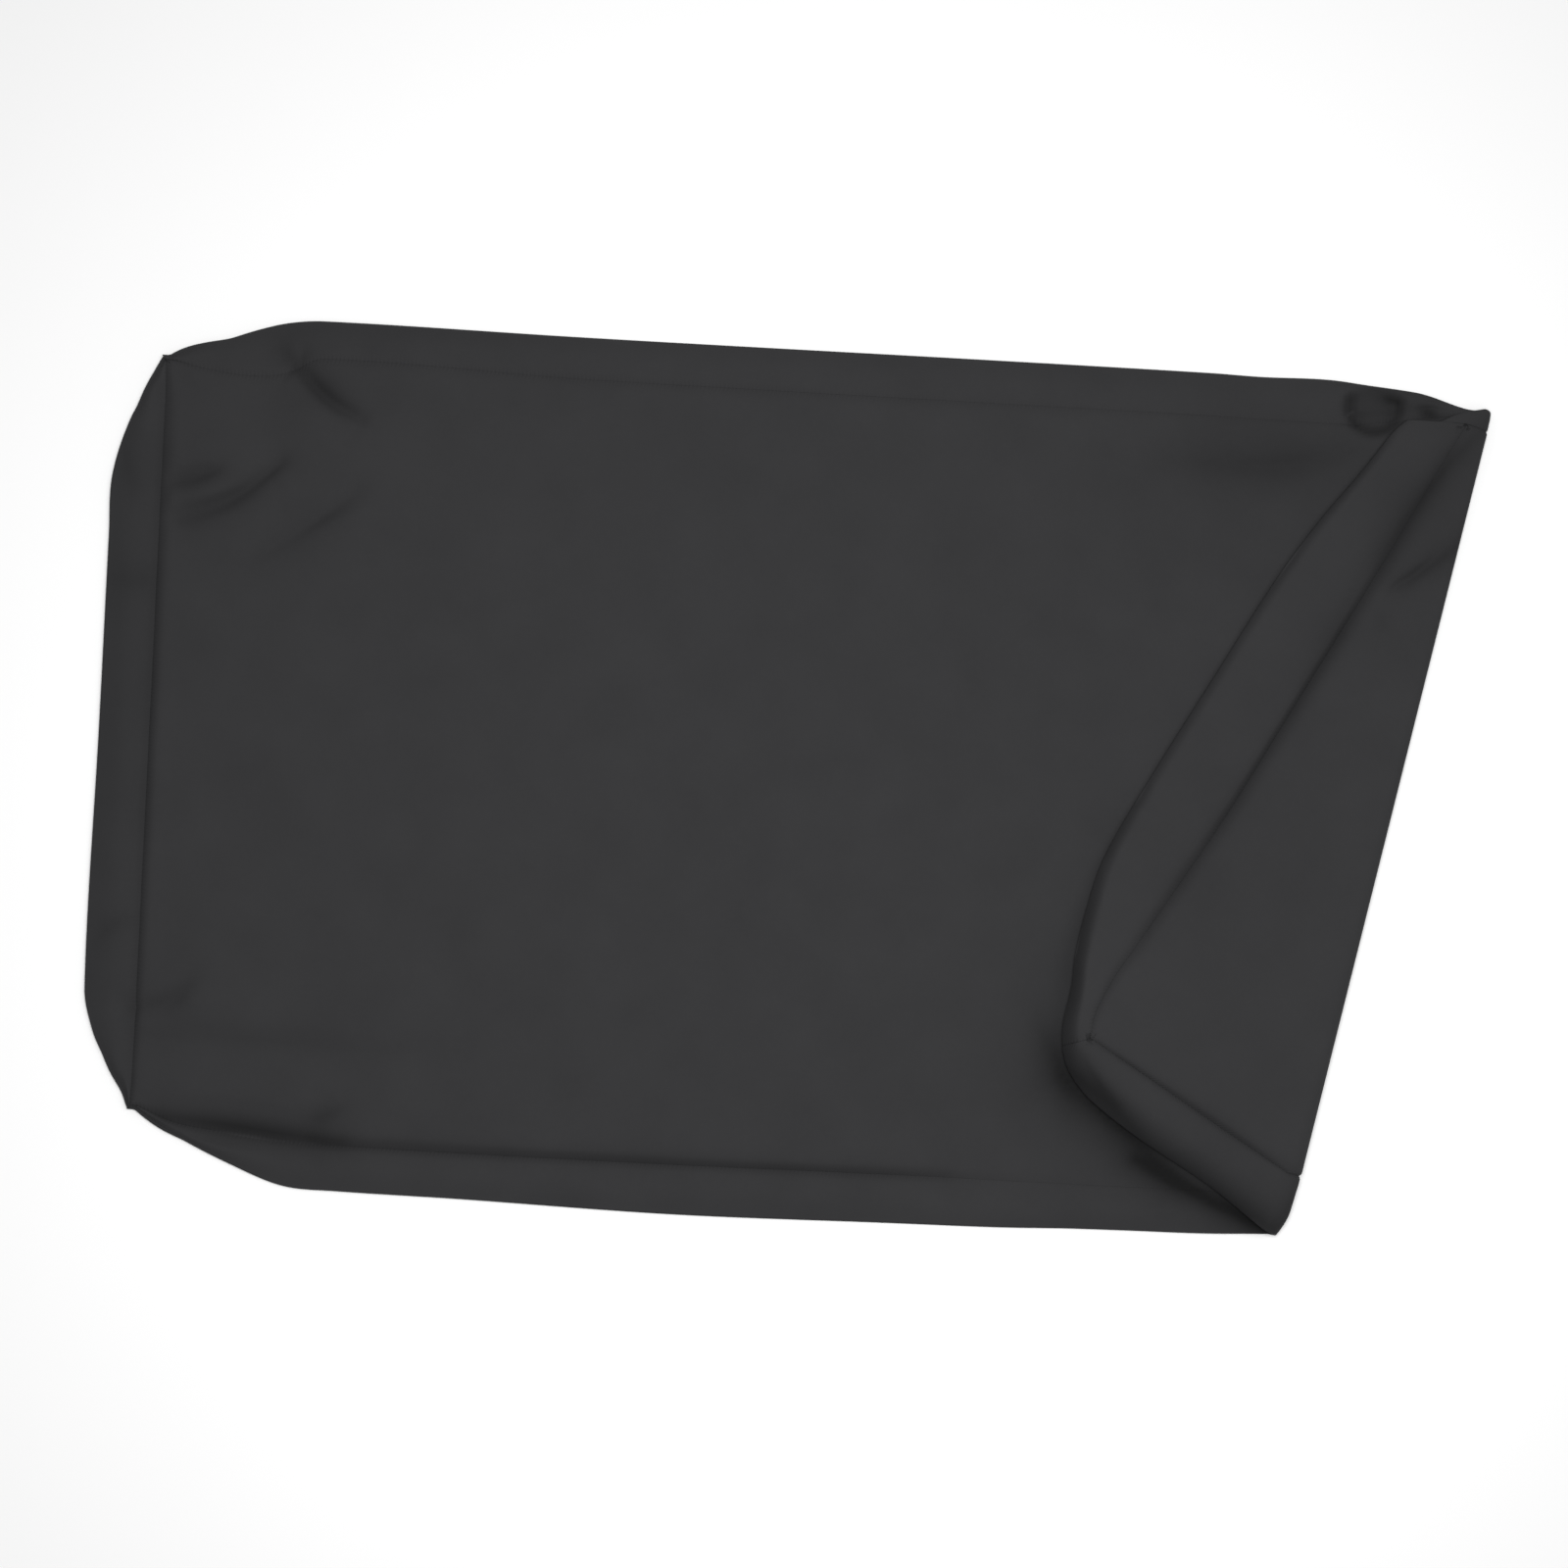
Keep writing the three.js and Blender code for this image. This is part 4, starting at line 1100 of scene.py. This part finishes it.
def charcoal_cloth():
    """A smooth, matt polyester in charcoal, dyed a little unevenly, with a fine plain weave, and with shade
    painted into its colour in creases, seams and hollows and beside the flap.
    """
    material = bpy.data.materials.new("charcoal_polyester")
    material.use_nodes = True
    tree = material.node_tree
    surface = tree.nodes["Principled BSDF"]
    weave = new_node(tree, "Group", node_tree=plain_weave_group())
    dye = new_node(tree, "Group", node_tree=dye_group())
    stitches = new_node(tree, "Group", node_tree=stitch_group())
    shade = calculated(tree, "MULTIPLY_ADD", dye.outputs["Cloud"], CLOUD_MIX, MIX_START)
    shade = calculated(tree, "MULTIPLY_ADD", weave.outputs["Streak"], STREAK_MIX, shade)
    colour = new_node(tree, "Mix", {0: shade, 6: CHARCOAL, 7: CHARCOAL_LIGHT}, data_type="RGBA")
    # Painted shade: the map mixes the colour towards near black in creases, seams, hollows and the shadow
    # beside the flap.
    painted_shade_map = new_node(tree, "Attribute", attribute_name="painted_shade")
    inputs = {0: painted_shade_map.outputs["Fac"], 6: colour.outputs[2], 7: PAINTED_SHADE_COLOUR}
    with_painted_shade = new_node(tree, "Mix", inputs, data_type="RGBA")
    tree.links.new(with_painted_shade.outputs[2], surface.inputs["Base Color"])
    roughness = calculated(tree, "MULTIPLY_ADD", dye.outputs["Fleck"], FLECK_ROUGHNESS, ROUGHNESS)
    tree.links.new(roughness, surface.inputs["Roughness"])
    surface.inputs["Specular IOR Level"].default_value = SPECULAR
    threads = new_node(tree, "Bump", {"Height": weave.outputs["Height"], "Distance": WEAVE_RELIEF})
    inputs = {"Height": stitches.outputs["Height"], "Distance": STITCH_RELIEF, "Normal": threads.outputs[0]}
    sewn = new_node(tree, "Bump", inputs)
    tree.links.new(sewn.outputs[0], surface.inputs["Normal"])
    return material


def make_cover():
    """Makes the six pieces, gives each the cloth, attaches it to the root body and hides the part that it
    stands for.
    """
    cloth = charcoal_cloth()
    length, width, strip = (size * METRES for size in (PANEL_LENGTH, PANEL_WIDTH, STRIP_WIDTH))
    top = panel_cloth("top", TOP_STEPS)
    bottom = panel_cloth("bottom", BOTTOM_STEPS)
    for piece, node, flat, under in (
        (top, "top_panel", (width, length), bottom),
        (bottom, "bottom_panel", (width, length), "floor"),
        (long_strip("front"), "front_strip", (strip, length), "floor"),
        (long_strip("back"), "back_strip", (strip, length), "floor"),
        (left_strip(), "left_strip", (strip, width), "floor"),
        (end_strip(), "end_strip", (strip, width), top),
    ):
        piece.data.materials.append(cloth)
        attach(piece, "root")
        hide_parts(node)


# The floor's corners and the gap between it and the cover, in metres, its colour and its roughness.
FLOOR_CORNERS = ((-15, -15), (15, -15), (15, 15), (-15, 15))
FLOOR_GAP = 0.0003
FLOOR_COLOUR = (0.96, 0.96, 0.96, 1)
FLOOR_ROUGHNESS = 0.9


def make_floor():
    mesh = bpy.data.meshes.new("floor")
    mesh.from_pydata([(*corner, -FLOOR_GAP) for corner in FLOOR_CORNERS], [], [(0, 1, 2, 3)])
    material = bpy.data.materials.new("pale_floor")
    material.use_nodes = True
    surface = material.node_tree.nodes["Principled BSDF"]
    surface.inputs["Base Color"].default_value = FLOOR_COLOUR
    surface.inputs["Roughness"].default_value = FLOOR_ROUGHNESS
    mesh.materials.append(material)
    added("floor", mesh)


# The camera's place, how far down it looks and how far it is turned, in degrees, and its lens.
CAMERA_PLACE = (465.7, 127.2, 1955.5)
CAMERA_ELEVATION = 86
CAMERA_ROLL = 3.0
LENS = 60


def make_camera():
    """The camera looks almost straight down, from a little to the front, turned a little to one side."""
    data = bpy.data.cameras.new("camera")
    data.lens = LENS
    camera = added("camera", data)
    elevation, roll = math.radians(CAMERA_ELEVATION), math.radians(CAMERA_ROLL)
    back = Vector((0, -math.cos(elevation), math.sin(elevation)))
    right = Vector((1, 0, 0))
    up = back.cross(right)
    turned_right = right * math.cos(roll) + up * math.sin(roll)
    turned_up = up * math.cos(roll) - right * math.sin(roll)
    axes = Matrix((turned_right, turned_up, back)).transposed()
    place = Vector(ORIGIN) + Vector(CAMERA_PLACE) * METRES
    camera.matrix_world = Matrix.Translation(place) @ axes.to_4x4()
    bpy.context.scene.camera = camera


# A soft light from above: its place and its size, in metres.
SOFTBOX_PLACE = (0.54, 0.23, 1.6)
SOFTBOX_SIZE = 0.5
SOFTBOX_POWER = 18.5
# A weaker one from the right: where it comes from, its lean from upright and how wide it is, in degrees.
SIDE_LIGHT_HEADING = 20
SIDE_LIGHT_LEAN = 38
SIDE_LIGHT_SPREAD = 30
SIDE_LIGHT_STRENGTH = 0.6
# The strength of the pale light from all round.
SURROUND = 0.36


def make_light():
    """Two lights and the surround, with plain colours in the picture."""
    above = bpy.data.lights.new("softbox", "AREA")
    above.size = SOFTBOX_SIZE
    above.energy = SOFTBOX_POWER
    added("softbox", above).location = Vector(ORIGIN) + Vector(SOFTBOX_PLACE)
    aside = bpy.data.lights.new("side_light", "SUN")
    aside.angle = math.radians(SIDE_LIGHT_SPREAD)
    aside.energy = SIDE_LIGHT_STRENGTH
    turned = (0, math.radians(SIDE_LIGHT_LEAN), math.radians(SIDE_LIGHT_HEADING))
    added("side_light", aside).rotation_euler = turned
    world = bpy.data.worlds.new("pale_surround")
    world.use_nodes = True
    background = world.node_tree.nodes["Background"]
    background.inputs["Color"].default_value = (1, 1, 1, 1)
    background.inputs["Strength"].default_value = SURROUND
    bpy.context.scene.world = world
    bpy.context.scene.view_settings.view_transform = "Standard"


make_cover()
make_floor()
make_camera()
make_light()
